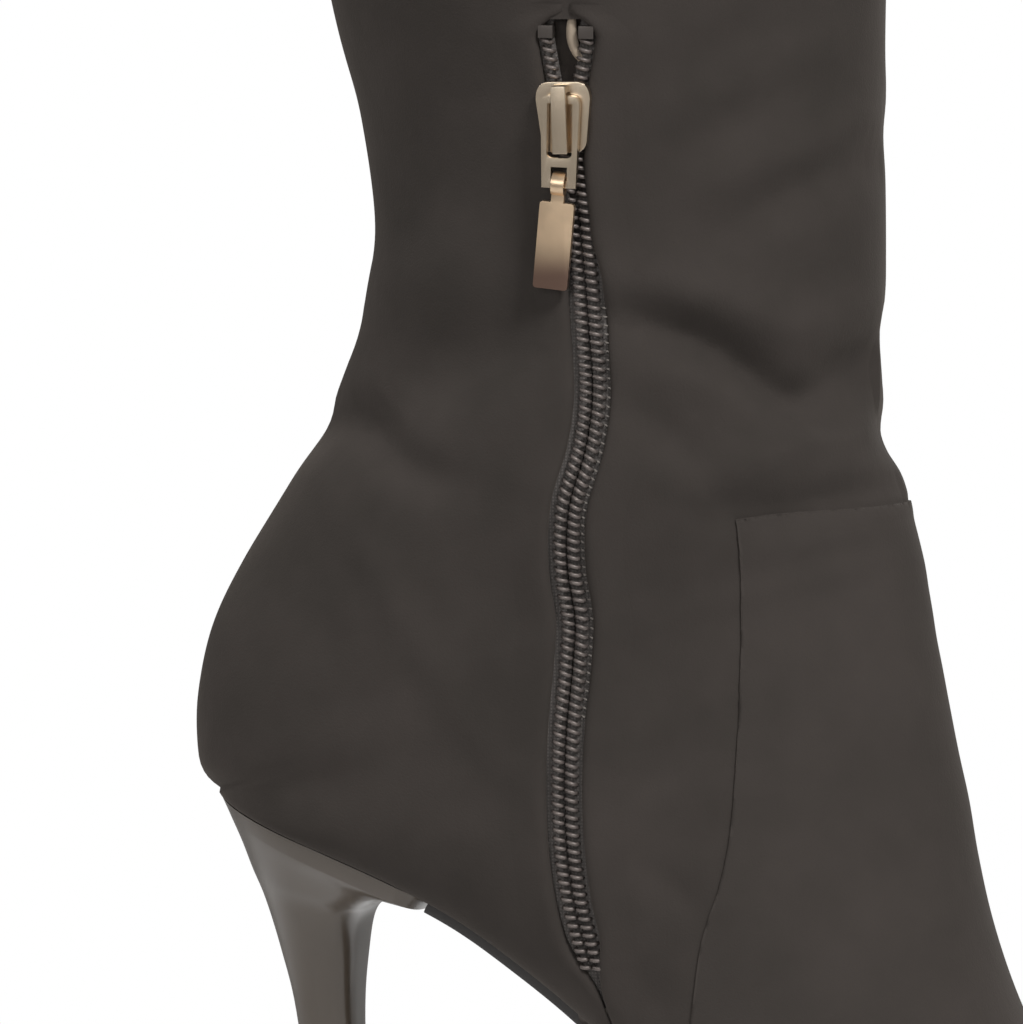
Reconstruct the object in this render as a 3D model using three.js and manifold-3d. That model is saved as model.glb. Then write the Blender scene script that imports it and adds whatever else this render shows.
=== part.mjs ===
// Knee-high stiletto ankle-zip boot, left foot. Millimetres, +Z up, toe towards +X,
// the zip side (medial) towards -Y. The origin is the middle of the bounding box, on the floor.
import * as THREE from 'three';
import { mergeVertices } from 'three/addons/utils/BufferGeometryUtils.js';
import Module from 'manifold-3d';

const wasm = await Module();
wasm.setup();
const { lerp, clamp, smoothstep, degToRad } = THREE.MathUtils;

// Boot sizes
const shoeLength = 234.5; // back of the heel to the tip of the toe, EU 39
const ballWidth = 81.5;
const heelWidth = 67; // across the counter
const heelHeight = 105; // floor to the back edge of the seat
const shaftHeight = 380; // back edge of the seat to the collar
const calfDepth = 119;
const calfWidth = 113;

// Materials and clearances
const wall = 1.8;
const gap = 0.3;
const soleThickness = 3.2; // under the ball
const shankThickness = 1.8; // under the waist
const insoleThickness = 2;
const liftHeight = 6; // the heel's top piece
const vampThickness = 0.8;

// Zip
const chainWidth = 5;
const rowWidth = 2; // one open row of teeth
const rowSpread = 3.3; // centre line to an open row, at the top
const slotMargin = 0.8; // from the teeth to the folded edge
const tapeWidth = 7.5; // centre line to the tape's outer edge
const tapeThickness = 0.8;
const tapeClearance = 0.5; // from the wall's inner face
const stopLength = 2;
const zipStep = 5; // spacing of the zip's cross sections

// Slider and pull
const sliderLength = 11.5;
const sliderWidth = 9;
const sliderPlate = 1.7;
const bridgeWidth = 2.4;
const bridgeThickness = 1;
const bridgeOpening = 2.4; // height under the bridge
const pullThickness = 1.4;
const pullWidth = 6.4;
const pullLength = 14.4; // hinge bar to the far edge of the frame
const sliderLean = degToRad(-1); // it stands straighter than the zip below it
const pullLean = degToRad(-3);
const tabLean = degToRad(-4);
const barHeight = 1.3;
const tabLength = 14.2;
const tabNeck = 1.1; // bare link between the loop and the tab
const tabWidth = 5.7;
const tabThickness = 1.2;
const loopWall = 0.7;

// Mesh fineness
const around = 28; // points round a section, a multiple of 4
const ringPoints = 24;

const treadLift = soleThickness + gap;

// Height of a level: 0 is the lowest feather edge, 1 the back of the seat, 2 the collar.
function level(share) {
  return share < 1
    ? lerp(treadLift, heelHeight, share)
    : heelHeight + (share - 1) * shaftHeight;
}

// Leg sections from the collar down: height in shaft heights above the seat, front in shoe
// lengths, depth in calf depths, width in calf widths, where along the depth it is widest,
// and the exponents of its front and back curves.
const legRows = [
  // height, front, depth, width, widest, front curve, back curve
  [1.000, 0.507, 0.962, 0.956, 0.47, 2, 2],
  [0.870, 0.510, 0.992, 0.987, 0.46, 2, 2],
  [0.750, 0.510, 1.000, 1.000, 0.46, 2, 2],
  [0.605, 0.505, 0.958, 0.960, 0.46, 2, 2],
  [0.475, 0.496, 0.864, 0.858, 0.47, 2, 2],
  [0.347, 0.493, 0.777, 0.735, 0.48, 2, 1.95],
  [0.294, 0.493, 0.734, 0.681, 0.49, 2, 1.9],
  [0.241, 0.493, 0.715, 0.646, 0.50, 2, 1.9],
  [0.202, 0.492, 0.736, 0.642, 0.50, 2, 1.9],
  [0.176, 0.490, 0.769, 0.655, 0.50, 2, 1.9],
  [0.158, 0.488, 0.779, 0.664, 0.50, 2, 1.9],
];

// Heel and instep sections, fanning round the ankle's bend. The low point runs down the back
// and then along the seat, the high point down the instep: x in shoe lengths, z as a level.
// Widths, the feather edge's width and the sideways swing are in heel widths.
const heelRows = [
  // low x, low z, high x, high z, width, feather, swing, widest, top curve, low curve
  [0.068, 1.136, 0.503, 1.143, 1.127, 0.716, 0, 0.50, 2, 1.9],
  [0.032, 1.100, 0.511, 1.128, 1.097, 0.716, 0, 0.50, 2, 1.95],
  [0.010, 1.071, 0.513, 1.120, 1.067, 0.716, 0, 0.48, 2, 2.05],
  [0.000, 1.041, 0.515, 1.114, 1.045, 0.716, 0, 0.47, 1.95, 2.15],
  [0.000, 1.018, 0.517, 1.107, 1.030, 0.716, 0, 0.46, 1.95, 2.2],
  [0.005, 1.007, 0.519, 1.100, 1.022, 0.716, 0, 0.45, 1.9, 2.25],
  [0.0175, 1.000, 0.521, 1.091, 1.015, 0.716, 0, 0.44, 1.9, 2.3],
  [0.036, 0.979, 0.524, 1.080, 1.007, 0.716, 0, 0.44, 1.9, 2.3],
  [0.0725, 0.945, 0.527, 1.068, 1.000, 0.724, 0, 0.43, 1.9, 2.3],
  [0.119, 0.902, 0.531, 1.055, 0.993, 0.716, 0.003, 0.42, 1.9, 2.3],
  [0.166, 0.853, 0.536, 1.038, 0.993, 0.694, 0.007, 0.41, 1.9, 2.3],
  [0.207, 0.801, 0.542, 1.018, 0.993, 0.664, 0.015, 0.40, 1.9, 2.25],
  [0.247, 0.735, 0.549, 0.990, 1.000, 0.642, 0.022, 0.39, 1.9, 2.2],
  [0.290, 0.655, 0.555, 0.902, 1.007, 0.627, 0.030, 0.37, 1.9, 2.2],
];
const seatRow = 6; // the heel row at the back edge of the seat
const vampRow = 1; // the heel row along the vamp's top seam

// Waist to toe, as the heel rows, with the widths and the swing in ball widths.
const footRows = [
  // low x, low z, high x, high z, width, feather, swing, widest, top curve, low curve
  [0.341, 0.547, 0.564, 0.803, 0.840, 0.521, 0.028, 0.34, 1.95, 2.2],
  [0.397, 0.421, 0.577, 0.706, 0.859, 0.552, 0.028, 0.31, 1.95, 2.2],
  [0.452, 0.296, 0.592, 0.621, 0.890, 0.613, 0.025, 0.29, 2, 2.2],
  [0.507, 0.180, 0.612, 0.537, 0.926, 0.687, 0.016, 0.28, 2, 2.2],
  [0.559, 0.093, 0.637, 0.460, 0.963, 0.761, 0.006, 0.28, 2.05, 2.2],
  [0.605, 0.038, 0.666, 0.397, 0.994, 0.822, -0.004, 0.29, 2.1, 2.2],
  [0.648, 0.010, 0.700, 0.345, 1.000, 0.853, -0.012, 0.30, 2.1, 2.2],
  [0.691, 0.000, 0.736, 0.303, 0.982, 0.840, -0.022, 0.30, 2.15, 2.2],
  [0.750, 0.000, 0.780, 0.262, 0.908, 0.773, -0.034, 0.30, 2.15, 2.2],
  [0.810, 0.003, 0.829, 0.230, 0.785, 0.650, -0.044, 0.32, 2.15, 2.2],
  [0.870, 0.014, 0.881, 0.198, 0.620, 0.497, -0.053, 0.34, 2.15, 2.2],
  [0.921, 0.029, 0.927, 0.166, 0.442, 0.337, -0.059, 0.36, 2.1, 2.2],
  [0.964, 0.044, 0.966, 0.134, 0.270, 0.190, -0.063, 0.38, 2.1, 2.1],
  [0.989, 0.054, 0.989, 0.104, 0.130, 0.080, -0.064, 0.40, 2, 2],
  [1.000, 0.064, 1.000, 0.064, 0, 0, -0.064, 0.40, 2, 2],
];

function legSection([height, front, depth, width, widest, topCurve, lowCurve]) {
  const z = level(1 + height);
  const highX = front * shoeLength;
  return {
    lowX: highX - depth * calfDepth, lowZ: z, highX, highZ: z,
    half: (width * calfWidth) / 2, feather: 0, swing: 0, widest, topCurve, lowCurve,
  };
}

function footSection(widthUnit) {
  return ([lowX, lowZ, highX, highZ, width, feather, swing, widest, topCurve, lowCurve]) => ({
    lowX: lowX * shoeLength, lowZ: level(lowZ), highX: highX * shoeLength, highZ: level(highZ),
    half: (width * widthUnit) / 2, feather: (feather * widthUnit) / 2, swing: swing * widthUnit,
    widest, topCurve, lowCurve,
  });
}

const sections = [
  ...legRows.map(legSection),
  ...heelRows.map(footSection(heelWidth)),
  ...footRows.map(footSection(ballWidth)),
];
const seatAt = legRows.length + seatRow;
const vampAt = legRows.length + vampRow;
const toeAt = sections.length - 1;
const seatEdge = sections[seatAt];

// Half width of the feather edge, round at the back of the seat.
function featherHalf(section, u) {
  if (u <= seatAt) return 0;
  const along = Math.hypot(section.lowX - seatEdge.lowX, section.lowZ - seatEdge.lowZ);
  const short = 1 - Math.min(along / section.feather, 1);
  return section.feather * Math.sqrt(1 - short * short);
}

// The section at row position u, on a smooth curve through the rows.
function sectionAt(u) {
  const i = clamp(Math.floor(u), 0, toeAt - 1);
  const t = u - i;
  const [p, q, r, s] = [i - 1, i, i + 1, i + 2].map((row) => sections[clamp(row, 0, toeAt)]);
  const section = {};
  for (const key of Object.keys(q)) {
    section[key] = q[key] + 0.5 * t * (r[key] - p[key]
      + t * (2 * p[key] - 5 * q[key] + 4 * r[key] - s[key]
      + t * (3 * (q[key] - r[key]) + s[key] - p[key])));
  }
  section.base = featherHalf(section, u);
  section.tuck = 1 + 1.2 * Math.exp(-(((u - seatAt) / 1.5) ** 2));
  return section;
}

// A point of the upper's outer face. The turn runs from 0 at the medial feather edge, over
// the high point at PI, to 2 PI at the lateral feather edge.
function upperPoint(section, turn) {
  const side = turn < Math.PI ? -1 : 1;
  const angle = side < 0 ? turn : 2 * Math.PI - turn;
  const isLow = angle < Math.PI / 2;
  const power = 2 / (isLow ? section.lowCurve : section.topCurve);
  const run = Math.abs(Math.cos(angle)) ** power;
  const rise = Math.abs(Math.sin(angle)) ** power;
  const share = isLow
    ? section.widest * (1 - run)
    : section.widest + (1 - section.widest) * run;
  const inner = isLow ? section.base : 0;
  return new THREE.Vector3(
    lerp(section.lowX, section.highX, share),
    section.swing + side * (section.half * rise + inner * (1 - rise) ** section.tuck),
    lerp(section.lowZ, section.highZ, share),
  );
}

// Half width of a section at a share of the way from its low to its high point.
function halfWidth(section, share) {
  const { widest, half, base, tuck, topCurve, lowCurve } = section;
  if (share < widest) {
    const r = clamp((widest - share) / widest, 0, 1);
    const rise = (1 - r ** lowCurve) ** (1 / lowCurve);
    return half * rise + base * (1 - rise) ** tuck;
  }
  const r = clamp((share - widest) / (1 - widest), 0, 1);
  return half * (1 - r ** topCurve) ** (1 / topCurve);
}

// The medial face's y over a point of the side view.
function medialY(x, z) {
  let [above, below] = [0, toeAt];
  for (let step = 0; step < 40; step += 1) {
    const middle = (above + below) / 2;
    const { lowX, lowZ, highX, highZ } = sectionAt(middle);
    const side = (highX - lowX) * (z - lowZ) - (highZ - lowZ) * (x - lowX);
    if (side > 0) below = middle;
    else above = middle;
  }
  const section = sectionAt(above);
  const dx = section.highX - section.lowX;
  const dz = section.highZ - section.lowZ;
  const share = ((x - section.lowX) * dx + (z - section.lowZ) * dz) / (dx * dx + dz * dz);
  return section.swing - halfWidth(section, share);
}

function medialNormal(x, z) {
  const e = 0.5;
  const slopeX = (medialY(x + e, z) - medialY(x - e, z)) / (2 * e);
  const slopeZ = (medialY(x, z + e) - medialY(x, z - e)) / (2 * e);
  return new THREE.Vector3(slopeX, -1, slopeZ).normalize();
}

// A point at a depth under the medial face, seen at (x, z) from the side.
function underMedial(x, z, depth) {
  return new THREE.Vector3(x, medialY(x, z), z).addScaledVector(medialNormal(x, z), -depth);
}

function geometryFrom(points, triangles) {
  const geometry = new THREE.BufferGeometry();
  geometry.setAttribute('position', new THREE.Float32BufferAttribute(
    points.flatMap((point) => point.toArray()), 3));
  geometry.setIndex(triangles.flat());
  return geometry;
}

// Drops the triangles that merging has closed up.
function openTriangles(geometry) {
  const index = geometry.index.array;
  const triangles = [];
  for (let i = 0; i < index.length; i += 3) {
    const [a, b, c] = index.slice(i, i + 3);
    if (a !== b && b !== c && c !== a) triangles.push([a, b, c]);
  }
  return triangles;
}

// A closed wall over a grid of points. Its two faces lie at the given heights along the
// outward normals, and every open edge is bridged.
function wallOver(grid, outer, inner) {
  const columns = grid[0].length;
  const quads = [];
  for (let i = 0; i + 1 < grid.length; i += 1) {
    for (let j = 0; j + 1 < columns; j += 1) {
      const [a, b] = [i * columns + j, i * columns + j + 1];
      quads.push([a, a + columns, b], [b, a + columns, b + columns]);
    }
  }
  const sheet = mergeVertices(geometryFrom(grid.flat(), quads), 1e-3);
  sheet.computeVertexNormals();
  const { position, normal } = sheet.attributes;
  const faces = openTriangles(sheet);
  const points = [outer, inner].flatMap((height) => Array.from({ length: position.count },
    (_, i) => new THREE.Vector3().fromBufferAttribute(position, i)
      .addScaledVector(new THREE.Vector3().fromBufferAttribute(normal, i), height)));
  const edges = new Set(faces.flatMap(([a, b, c]) => [`${a},${b}`, `${b},${c}`, `${c},${a}`]));
  const back = (i) => i + position.count;
  const triangles = faces.flatMap(([a, b, c]) => [[a, b, c], [back(a), back(c), back(b)]]);
  for (const edge of edges) {
    const [a, b] = edge.split(',').map(Number);
    if (!edges.has(`${b},${a}`)) {
      triangles.push([b, a, back(a)], [b, back(a), back(b)]);
    }
  }
  return geometryFrom(points, triangles);
}

// A solid through closed rings of points, capped at both ends.
function loft(rings) {
  const count = rings[0].length;
  const last = (rings.length - 1) * count;
  const triangles = [];
  for (let i = 0; i + 1 < rings.length; i += 1) {
    for (let j = 0; j < count; j += 1) {
      const [a, b] = [i * count + j, i * count + ((j + 1) % count)];
      triangles.push([a, b, a + count], [b, b + count, a + count]);
    }
  }
  for (let j = 1; j + 1 < count; j += 1) {
    triangles.push([0, j + 1, j], [last, last + j, last + j + 1]);
  }
  return geometryFrom(rings.flat(), triangles);
}

function toManifold(geometry) {
  const plain = new THREE.BufferGeometry();
  plain.setAttribute('position', geometry.attributes.position);
  if (geometry.index) plain.setIndex(geometry.index);
  const merged = mergeVertices(plain, 1e-4);
  const solid = new wasm.Manifold(new wasm.Mesh({
    numProp: 3,
    vertProperties: new Float32Array(merged.attributes.position.array),
    triVerts: new Uint32Array(openTriangles(merged).flat()),
  }));
  return solid;
}

function fromManifold(solid) {
  const { vertProperties, triVerts } = solid.getMesh();
  const geometry = new THREE.BufferGeometry();
  geometry.setAttribute('position', new THREE.BufferAttribute(vertProperties, 3));
  geometry.setIndex(new THREE.BufferAttribute(triVerts, 1));
  return geometry;
}

const cut = (body, tool) => fromManifold(toManifold(body).subtract(toManifold(tool)));
const keep = (body, region) => fromManifold(toManifold(body).intersect(toManifold(region)));
const join = (parts) => fromManifold(parts.map(toManifold).reduce((sum, part) => sum.add(part)));

// The zip's centre line in the side view, from above its top end to the slot's foot.
const zipPoints = [
  // x in shoe lengths, z as a level
  [0.301, 1.344], [0.300, 1.320], [0.299, 1.294], [0.304, 1.262], [0.309, 1.228],
  [0.3125, 1.202], [0.3155, 1.176], [0.311, 1.153], [0.299, 1.127], [0.297, 1.101],
  [0.301, 1.079], [0.299, 1.061], [0.294, 1.031], [0.2925, 0.983], [0.297, 0.852],
  [0.3065, 0.754], [0.317, 0.672],
];
const zipCurve = new THREE.CatmullRomCurve3(
  zipPoints.map(([x, z]) => new THREE.Vector3(x * shoeLength, 0, level(z))), false, 'centripetal');
const zipLength = zipCurve.getLength();
const sliderShare = 0.112; // the slider's middle along the centre line
const sliderAt = sliderShare * zipLength;
const rowsFrom = 4 + stopLength + gap; // from the slot's head to the first open tooth
const rowsTo = sliderAt - 1.5;
const chainFrom = sliderAt - 1;
const chainTo = zipLength - 6; // the slot's foot is sewn shut

// Half the distance between the open rows' centres, and half of the slot's width.
function rowCentre(along) {
  const closed = rowWidth / 2 + gap / 2;
  const opened = clamp((rowsTo - along) / (rowsTo - rowsFrom), 0, 1);
  return lerp(closed, rowSpread, opened ** 0.8);
}
const slotHalf = (along) => Math.max(chainWidth / 2, rowCentre(along) + rowWidth / 2) + slotMargin;

// A solid strip along the zip between two sideways distances and two depths.
function zipStrip(from, to, left, right, near, far) {
  const steps = Math.max(2, Math.ceil((to - from) / zipStep));
  const rings = [];
  for (let i = 0; i <= steps; i += 1) {
    const along = lerp(from, to, i / steps);
    const share = clamp(along / zipLength, 0, 1);
    const centre = zipCurve.getPointAt(share);
    const down = zipCurve.getTangentAt(share);
    const at = (aside, depth) => underMedial(
      centre.x - down.z * aside, centre.z + down.x * aside, depth);
    const [a, b] = [left(along), right(along)];
    const middle = (a + b) / 2;
    rings.push([at(a, far), at(middle, far), at(b, far), at(b, near), at(middle, near), at(a, near)]);
  }
  return loft(rings);
}

// Upper: one hollow wall, open at the collar and along the feather edge, with the zip's slot.
function sectionGrid(from, to, firstTurn, lastTurn) {
  const grid = [];
  for (let u = from; u <= to; u += u < legRows.length - 1 ? 0.5 : 1) {
    const section = sectionAt(u);
    const ring = [];
    for (let j = firstTurn; j <= lastTurn; j += 1) {
      ring.push(upperPoint(section, (2 * Math.PI * j) / around));
    }
    grid.push(ring);
  }
  return grid;
}

function upperGeometry() {
  const slot = zipStrip(0, zipLength, (d) => -slotHalf(d), slotHalf, -3 * wall, 3 * wall);
  return cut(wallOver(sectionGrid(0, toeAt, 0, around), 0, -wall), slot);
}

// Vamp: an overlay on the upper's own surface, kept in front of its slanting rear seam.
const vampSeam = [
  // x in shoe lengths, z as a level
  [0.412, 1.200], [0.412, 1.121], [0.409, 1.002], [0.402, 0.885], [0.389, 0.788],
  [0.383, 0.690], [0.365, 0.340], [0.330, -0.200],
];
function vampGeometry() {
  const outline = new THREE.Shape(vampSeam.map(
    ([x, z]) => new THREE.Vector2(x * shoeLength, level(z))));
  outline.lineTo(1.1 * shoeLength, level(-0.2));
  outline.lineTo(1.1 * shoeLength, level(1.2));
  const region = new THREE.ExtrudeGeometry(outline, { depth: 2 * ballWidth, bevelEnabled: false });
  region.rotateX(Math.PI / 2).translate(0, ballWidth, 0);
  const sheet = sectionGrid(vampAt, toeAt, 2, around - 2);
  return keep(wallOver(sheet, gap + vampThickness, gap), region);
}

// Row positions along the sole, and the seat's low line as a function of x.
function rowWhereLow(x) {
  let [back, front] = [seatAt, toeAt];
  for (let step = 0; step < 40; step += 1) {
    const middle = (back + front) / 2;
    if (sectionAt(middle).lowX < x) back = middle;
    else front = middle;
  }
  return back;
}
const lowLine = (x) => sectionAt(rowWhereLow(x)).lowZ;

// One cross section of a plate under the foot: points are [share of the half width, height].
function plateRing(u, half, points) {
  const section = sectionAt(u);
  const [before, after] = [sectionAt(Math.max(u - 0.1, seatAt)), sectionAt(Math.min(u + 0.1, toeAt))];
  const run = new THREE.Vector2(after.lowX - before.lowX, after.lowZ - before.lowZ).normalize();
  return points.map(([share, height]) => new THREE.Vector3(
    section.lowX - run.y * height, section.swing + share * half, section.lowZ + run.x * height));
}

function rowsAlong(from, to) {
  const rows = [from];
  for (let u = Math.floor(from) + 1; u < to; u += 1) rows.push(u);
  return [...rows, to];
}

// Heel: rings from the seat down to the lift.
const heelRings = [
  // back x, back z, front x, front z, width in heel widths, front squareness
  [0.0165, 1.000, 0.1825, 0.807, 0.690, 7],
  [0.0225, 0.966, 0.175, 0.807, 0.668, 7],
  [0.0315, 0.918, 0.1465, 0.818, 0.582, 5],
  [0.039, 0.869, 0.1285, 0.805, 0.484, 4.5],
  [0.048, 0.813, 0.1205, 0.783, 0.382, 4],
  [0.059, 0.722, 0.1175, 0.720, 0.275, 4],
  [0.069, 0.623, 0.1155, 0.623, 0.215, 4],
  [0.0775, 0.458, 0.118, 0.458, 0.167, 4],
  [0.0835, 0.212, 0.1215, 0.212, 0.146, 4],
  [0.086, 0, 0.124, 0, 0.143, 4],
];
const lipFront = heelRings[0][2] * shoeLength;

function heelOutline(ring, heightAt) {
  const [backX, , frontX, , width, squareness] = ring;
  const middle = ((backX + frontX) / 2) * shoeLength;
  const reach = ((frontX - backX) / 2) * shoeLength;
  return Array.from({ length: ringPoints }, (_, i) => {
    const angle = (2 * Math.PI * i) / ringPoints;
    const [c, s] = [Math.cos(angle), Math.sin(angle)];
    const power = 2 / (c > 0 ? squareness : 2);
    const x = middle + reach * Math.sign(c) * Math.abs(c) ** power;
    const y = (width * heelWidth / 2) * Math.sign(s) * Math.abs(s) ** power;
    return new THREE.Vector3(x, y, heightAt((x - middle) / reach / 2 + 0.5, x));
  });
}

function heelGeometry() {
  const foot = liftHeight + gap;
  const stem = (share) => (share < 1 ? lerp(foot, heelHeight, share) : level(share));
  const rings = heelRings.map((ring, i) => heelOutline(ring, (share, x) => {
    const leaning = lerp(stem(ring[1]), stem(ring[3]), share);
    const seat = lowLine(x) - gap;
    return i === 0 ? seat : Math.min(leaning, seat - 0.6 * i);
  }));
  return loft(rings.reverse());
}

function heelLiftGeometry() {
  const tip = heelRings[heelRings.length - 1];
  return loft([0, liftHeight].map((z) => heelOutline(tip, () => z)));
}

// Outsole: from the heel's front lip to the toe, flat on the floor under the ball.
function outsoleGeometry() {
  const first = rowWhereLow(lipFront + 2 * gap);
  return loft(rowsAlong(first, toeAt - 1).map((u) => {
    const { base, lowX } = sectionAt(u);
    const ball = smoothstep(lowX / shoeLength, 0.4, 0.6);
    const bottom = -gap - lerp(shankThickness, soleThickness, ball);
    const edge = lerp(0.95, 1.06, ball);
    const rim = lerp(-gap, bottom, 0.6);
    return plateRing(u, base * edge, [
      [-1, rim], [-0.95, bottom], [0.95, bottom], [1, rim], [1, -gap], [-1, -gap]]);
  }));
}

// Insole: fills the opening inside the feather edge, which leans in over its rim.
function insoleGeometry() {
  const first = seatAt + 1.5;
  return loft(rowsAlong(first, toeAt - 2).map((u) => {
    const low = (sectionAt(u).base - gap) * (u === first ? 0.8 : 1);
    const high = low - wall;
    return plateRing(u, 1, [
      [-low, 0], [low, 0], [high, insoleThickness], [-high, insoleThickness]]);
  }));
}

// Zip parts
const tapeNear = wall + tapeClearance;
const teethDepth = tapeNear - gap;
const tapeInner = (along) => Math.max(gap / 2, rowCentre(along) - rowWidth / 2);
const tapeTo = zipLength - 3.5;

function zipParts() {
  const chain = zipStrip(chainFrom, chainTo, () => -chainWidth / 2, () => chainWidth / 2,
    0, teethDepth);
  const parts = { zip_chain: chain };
  for (const [name, side] of [['left', -1], ['right', 1]]) {
    const strip = (from, to, inner, outer, near, far) => (side < 0
      ? zipStrip(from, to, (d) => -outer(d), (d) => -inner(d), near, far)
      : zipStrip(from, to, inner, outer, near, far));
    parts[`zip_tape_${name}`] = strip(1, tapeTo, (d) => (d < rowsTo ? tapeInner(d) : gap / 2),
      () => tapeWidth, tapeNear, tapeNear + tapeThickness);
    parts[`zip_teeth_${name}`] = strip(rowsFrom, rowsTo, (d) => rowCentre(d) - rowWidth / 2,
      (d) => rowCentre(d) + rowWidth / 2, 0, teethDepth);
    parts[`zip_stop_${name}`] = strip(rowsFrom - gap - stopLength, rowsFrom - gap,
      (d) => rowCentre(d) - rowWidth * 0.6, (d) => rowCentre(d) + rowWidth * 0.6, -0.4, teethDepth);
  }
  return parts;
}

// Slider and pull, drawn flat: x across the zip, y up along it, z out from the boot.
function plate(outline, bottom, top) {
  const geometry = new THREE.ExtrudeGeometry(outline, { depth: top - bottom, bevelEnabled: false });
  return geometry.translate(0, 0, bottom);
}

function box(width, y0, y1, z0, z1) {
  return new THREE.BoxGeometry(width, y1 - y0, z1 - z0).translate(0, (y0 + y1) / 2, (z0 + z1) / 2);
}

const plateTop = gap + sliderPlate;
const hingeHeight = plateTop + bridgeOpening / 2;
const bridgeLegs = [-0.48, -0.38, 0.37, 0.47].map((share) => share * sliderLength);
const hingeUp = bridgeLegs[2] - 0.5 * barHeight - 1.6 * gap; // the bar rests near the upper leg

function sliderGeometry() {
  const [w, h] = [sliderWidth / 2, sliderLength / 2];
  const body = new THREE.Shape();
  body.moveTo(-0.35 * w, -h);
  body.lineTo(0.35 * w, -h);
  body.quadraticCurveTo(0.8 * w, -h, 0.84 * w, -0.6 * h);
  body.lineTo(w, 0.5 * h);
  body.quadraticCurveTo(w, 0.95 * h, 0.55 * w, h);
  body.lineTo(-0.55 * w, h);
  body.quadraticCurveTo(-w, 0.95 * h, -w, 0.5 * h);
  body.lineTo(-0.84 * w, -0.6 * h);
  body.quadraticCurveTo(-0.8 * w, -h, -0.35 * w, -h);
  const [y0, y1, y2, y3] = bridgeLegs;
  const roof = plateTop + bridgeOpening;
  return join([
    plate(body, gap, plateTop),
    box(bridgeWidth, y0, y1, plateTop - 0.5, roof + bridgeThickness),
    box(bridgeWidth, y2, y3, plateTop - 0.5, roof + bridgeThickness),
    box(bridgeWidth, y0, y3, roof, roof + bridgeThickness),
  ]);
}

const farBar = -pullLength + barHeight / 2; // centre of the frame's lower bar

function pullFrameGeometry() {
  const [w, top, low] = [pullWidth / 2, barHeight / 2, -pullLength];
  const shoulder = 0.5 * w;
  const frame = new THREE.Shape();
  frame.moveTo(-shoulder, top);
  frame.quadraticCurveTo(-w, top, -w, top - shoulder);
  frame.lineTo(-0.88 * w, low);
  frame.lineTo(0.88 * w, low);
  frame.lineTo(w, top - shoulder);
  frame.quadraticCurveTo(w, top, shoulder, top);
  const eyeHalf = bridgeWidth / 2 + 3 * gap;
  const eyeFoot = bridgeLegs[0] - hingeUp - 3 * gap;
  const eye = new THREE.Path();
  eye.moveTo(-eyeHalf, -top);
  eye.lineTo(eyeHalf, -top);
  eye.lineTo(eyeHalf, eyeFoot + 0.4 * eyeHalf);
  eye.quadraticCurveTo(eyeHalf, eyeFoot, 0.4 * eyeHalf, eyeFoot);
  eye.lineTo(-0.4 * eyeHalf, eyeFoot);
  eye.quadraticCurveTo(-eyeHalf, eyeFoot, -eyeHalf, eyeFoot + 0.4 * eyeHalf);
  const windowHalf = 0.42 * w;
  const windowTop = farBar + barHeight / 2 + pullThickness + loopWall;
  const window = new THREE.Path();
  window.moveTo(-windowHalf, windowTop);
  window.lineTo(windowHalf, windowTop);
  window.lineTo(windowHalf, farBar + barHeight / 2);
  window.lineTo(-windowHalf, farBar + barHeight / 2);
  frame.holes.push(eye, window);
  return plate(frame, -pullThickness / 2, pullThickness / 2);
}

function pullTabGeometry() {
  const bore = Math.hypot(barHeight, pullThickness) / 2 + gap;
  const rim = bore + loopWall;
  const loopWidth = 0.42 * pullWidth - 2 * gap;
  const ring = new THREE.Shape().absarc(0, 0, rim, 0, 2 * Math.PI, false);
  ring.holes.push(new THREE.Path().absarc(0, 0, bore, 0, 2 * Math.PI, true));
  const loop = new THREE.ExtrudeGeometry(ring, { depth: loopWidth, bevelEnabled: false, curveSegments: 10 });
  loop.translate(0, 0, -loopWidth / 2).rotateY(Math.PI / 2);
  const top = -rim - tabNeck;
  const [w, r] = [tabWidth / 2, 0.6];
  const tag = new THREE.Shape();
  tag.moveTo(-w + r, top);
  tag.lineTo(w - r, top);
  tag.quadraticCurveTo(w, top, w, top - r);
  tag.lineTo(w, top - tabLength + r);
  tag.quadraticCurveTo(w, top - tabLength, w - r, top - tabLength);
  tag.lineTo(-w + r, top - tabLength);
  tag.quadraticCurveTo(-w, top - tabLength, -w, top - tabLength + r);
  tag.lineTo(-w, top - r);
  tag.quadraticCurveTo(-w, top, -w + r, top);
  const thick = tabThickness / 2;
  return join([
    loop,
    box(loopWidth, top - 0.5, -bore - 0.2, -thick, thick),
    plate(tag, -thick, thick),
  ]);
}

// Materials
const finish = (color, roughness, metalness = 0) => ({ color, roughness, metalness });
const suede = finish('#403c39', 0.95);
const panel = finish('#46423e', 0.95);
const lacquer = finish('#655c54', 0.3);
const rubber = finish('#2b2826', 0.8);
const lining = finish('#8d8172', 0.9);
const cloth = finish('#4a4643', 0.95);
const coil = finish('#8a7e72', 0.45, 0.6);
const nickel = finish('#93826f', 0.35, 1);
const tabMetal = finish('#a08b71', 0.35, 1);

const boot = new THREE.Group();
boot.name = 'boot';

function addPart(name, geometry, look, parent = boot) {
  const mesh = new THREE.Mesh(geometry, new THREE.MeshStandardMaterial(look));
  mesh.name = name;
  parent.add(mesh);
}

addPart('upper', upperGeometry(), suede);
addPart('vamp', vampGeometry(), panel);
addPart('outsole', outsoleGeometry(), rubber);
addPart('insole', insoleGeometry(), lining);
addPart('heel', heelGeometry(), lacquer);
addPart('heel_lift', heelLiftGeometry(), rubber);
for (const [name, geometry] of Object.entries(zipParts())) {
  addPart(name, geometry, name.includes('tape') ? cloth : coil);
}

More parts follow.
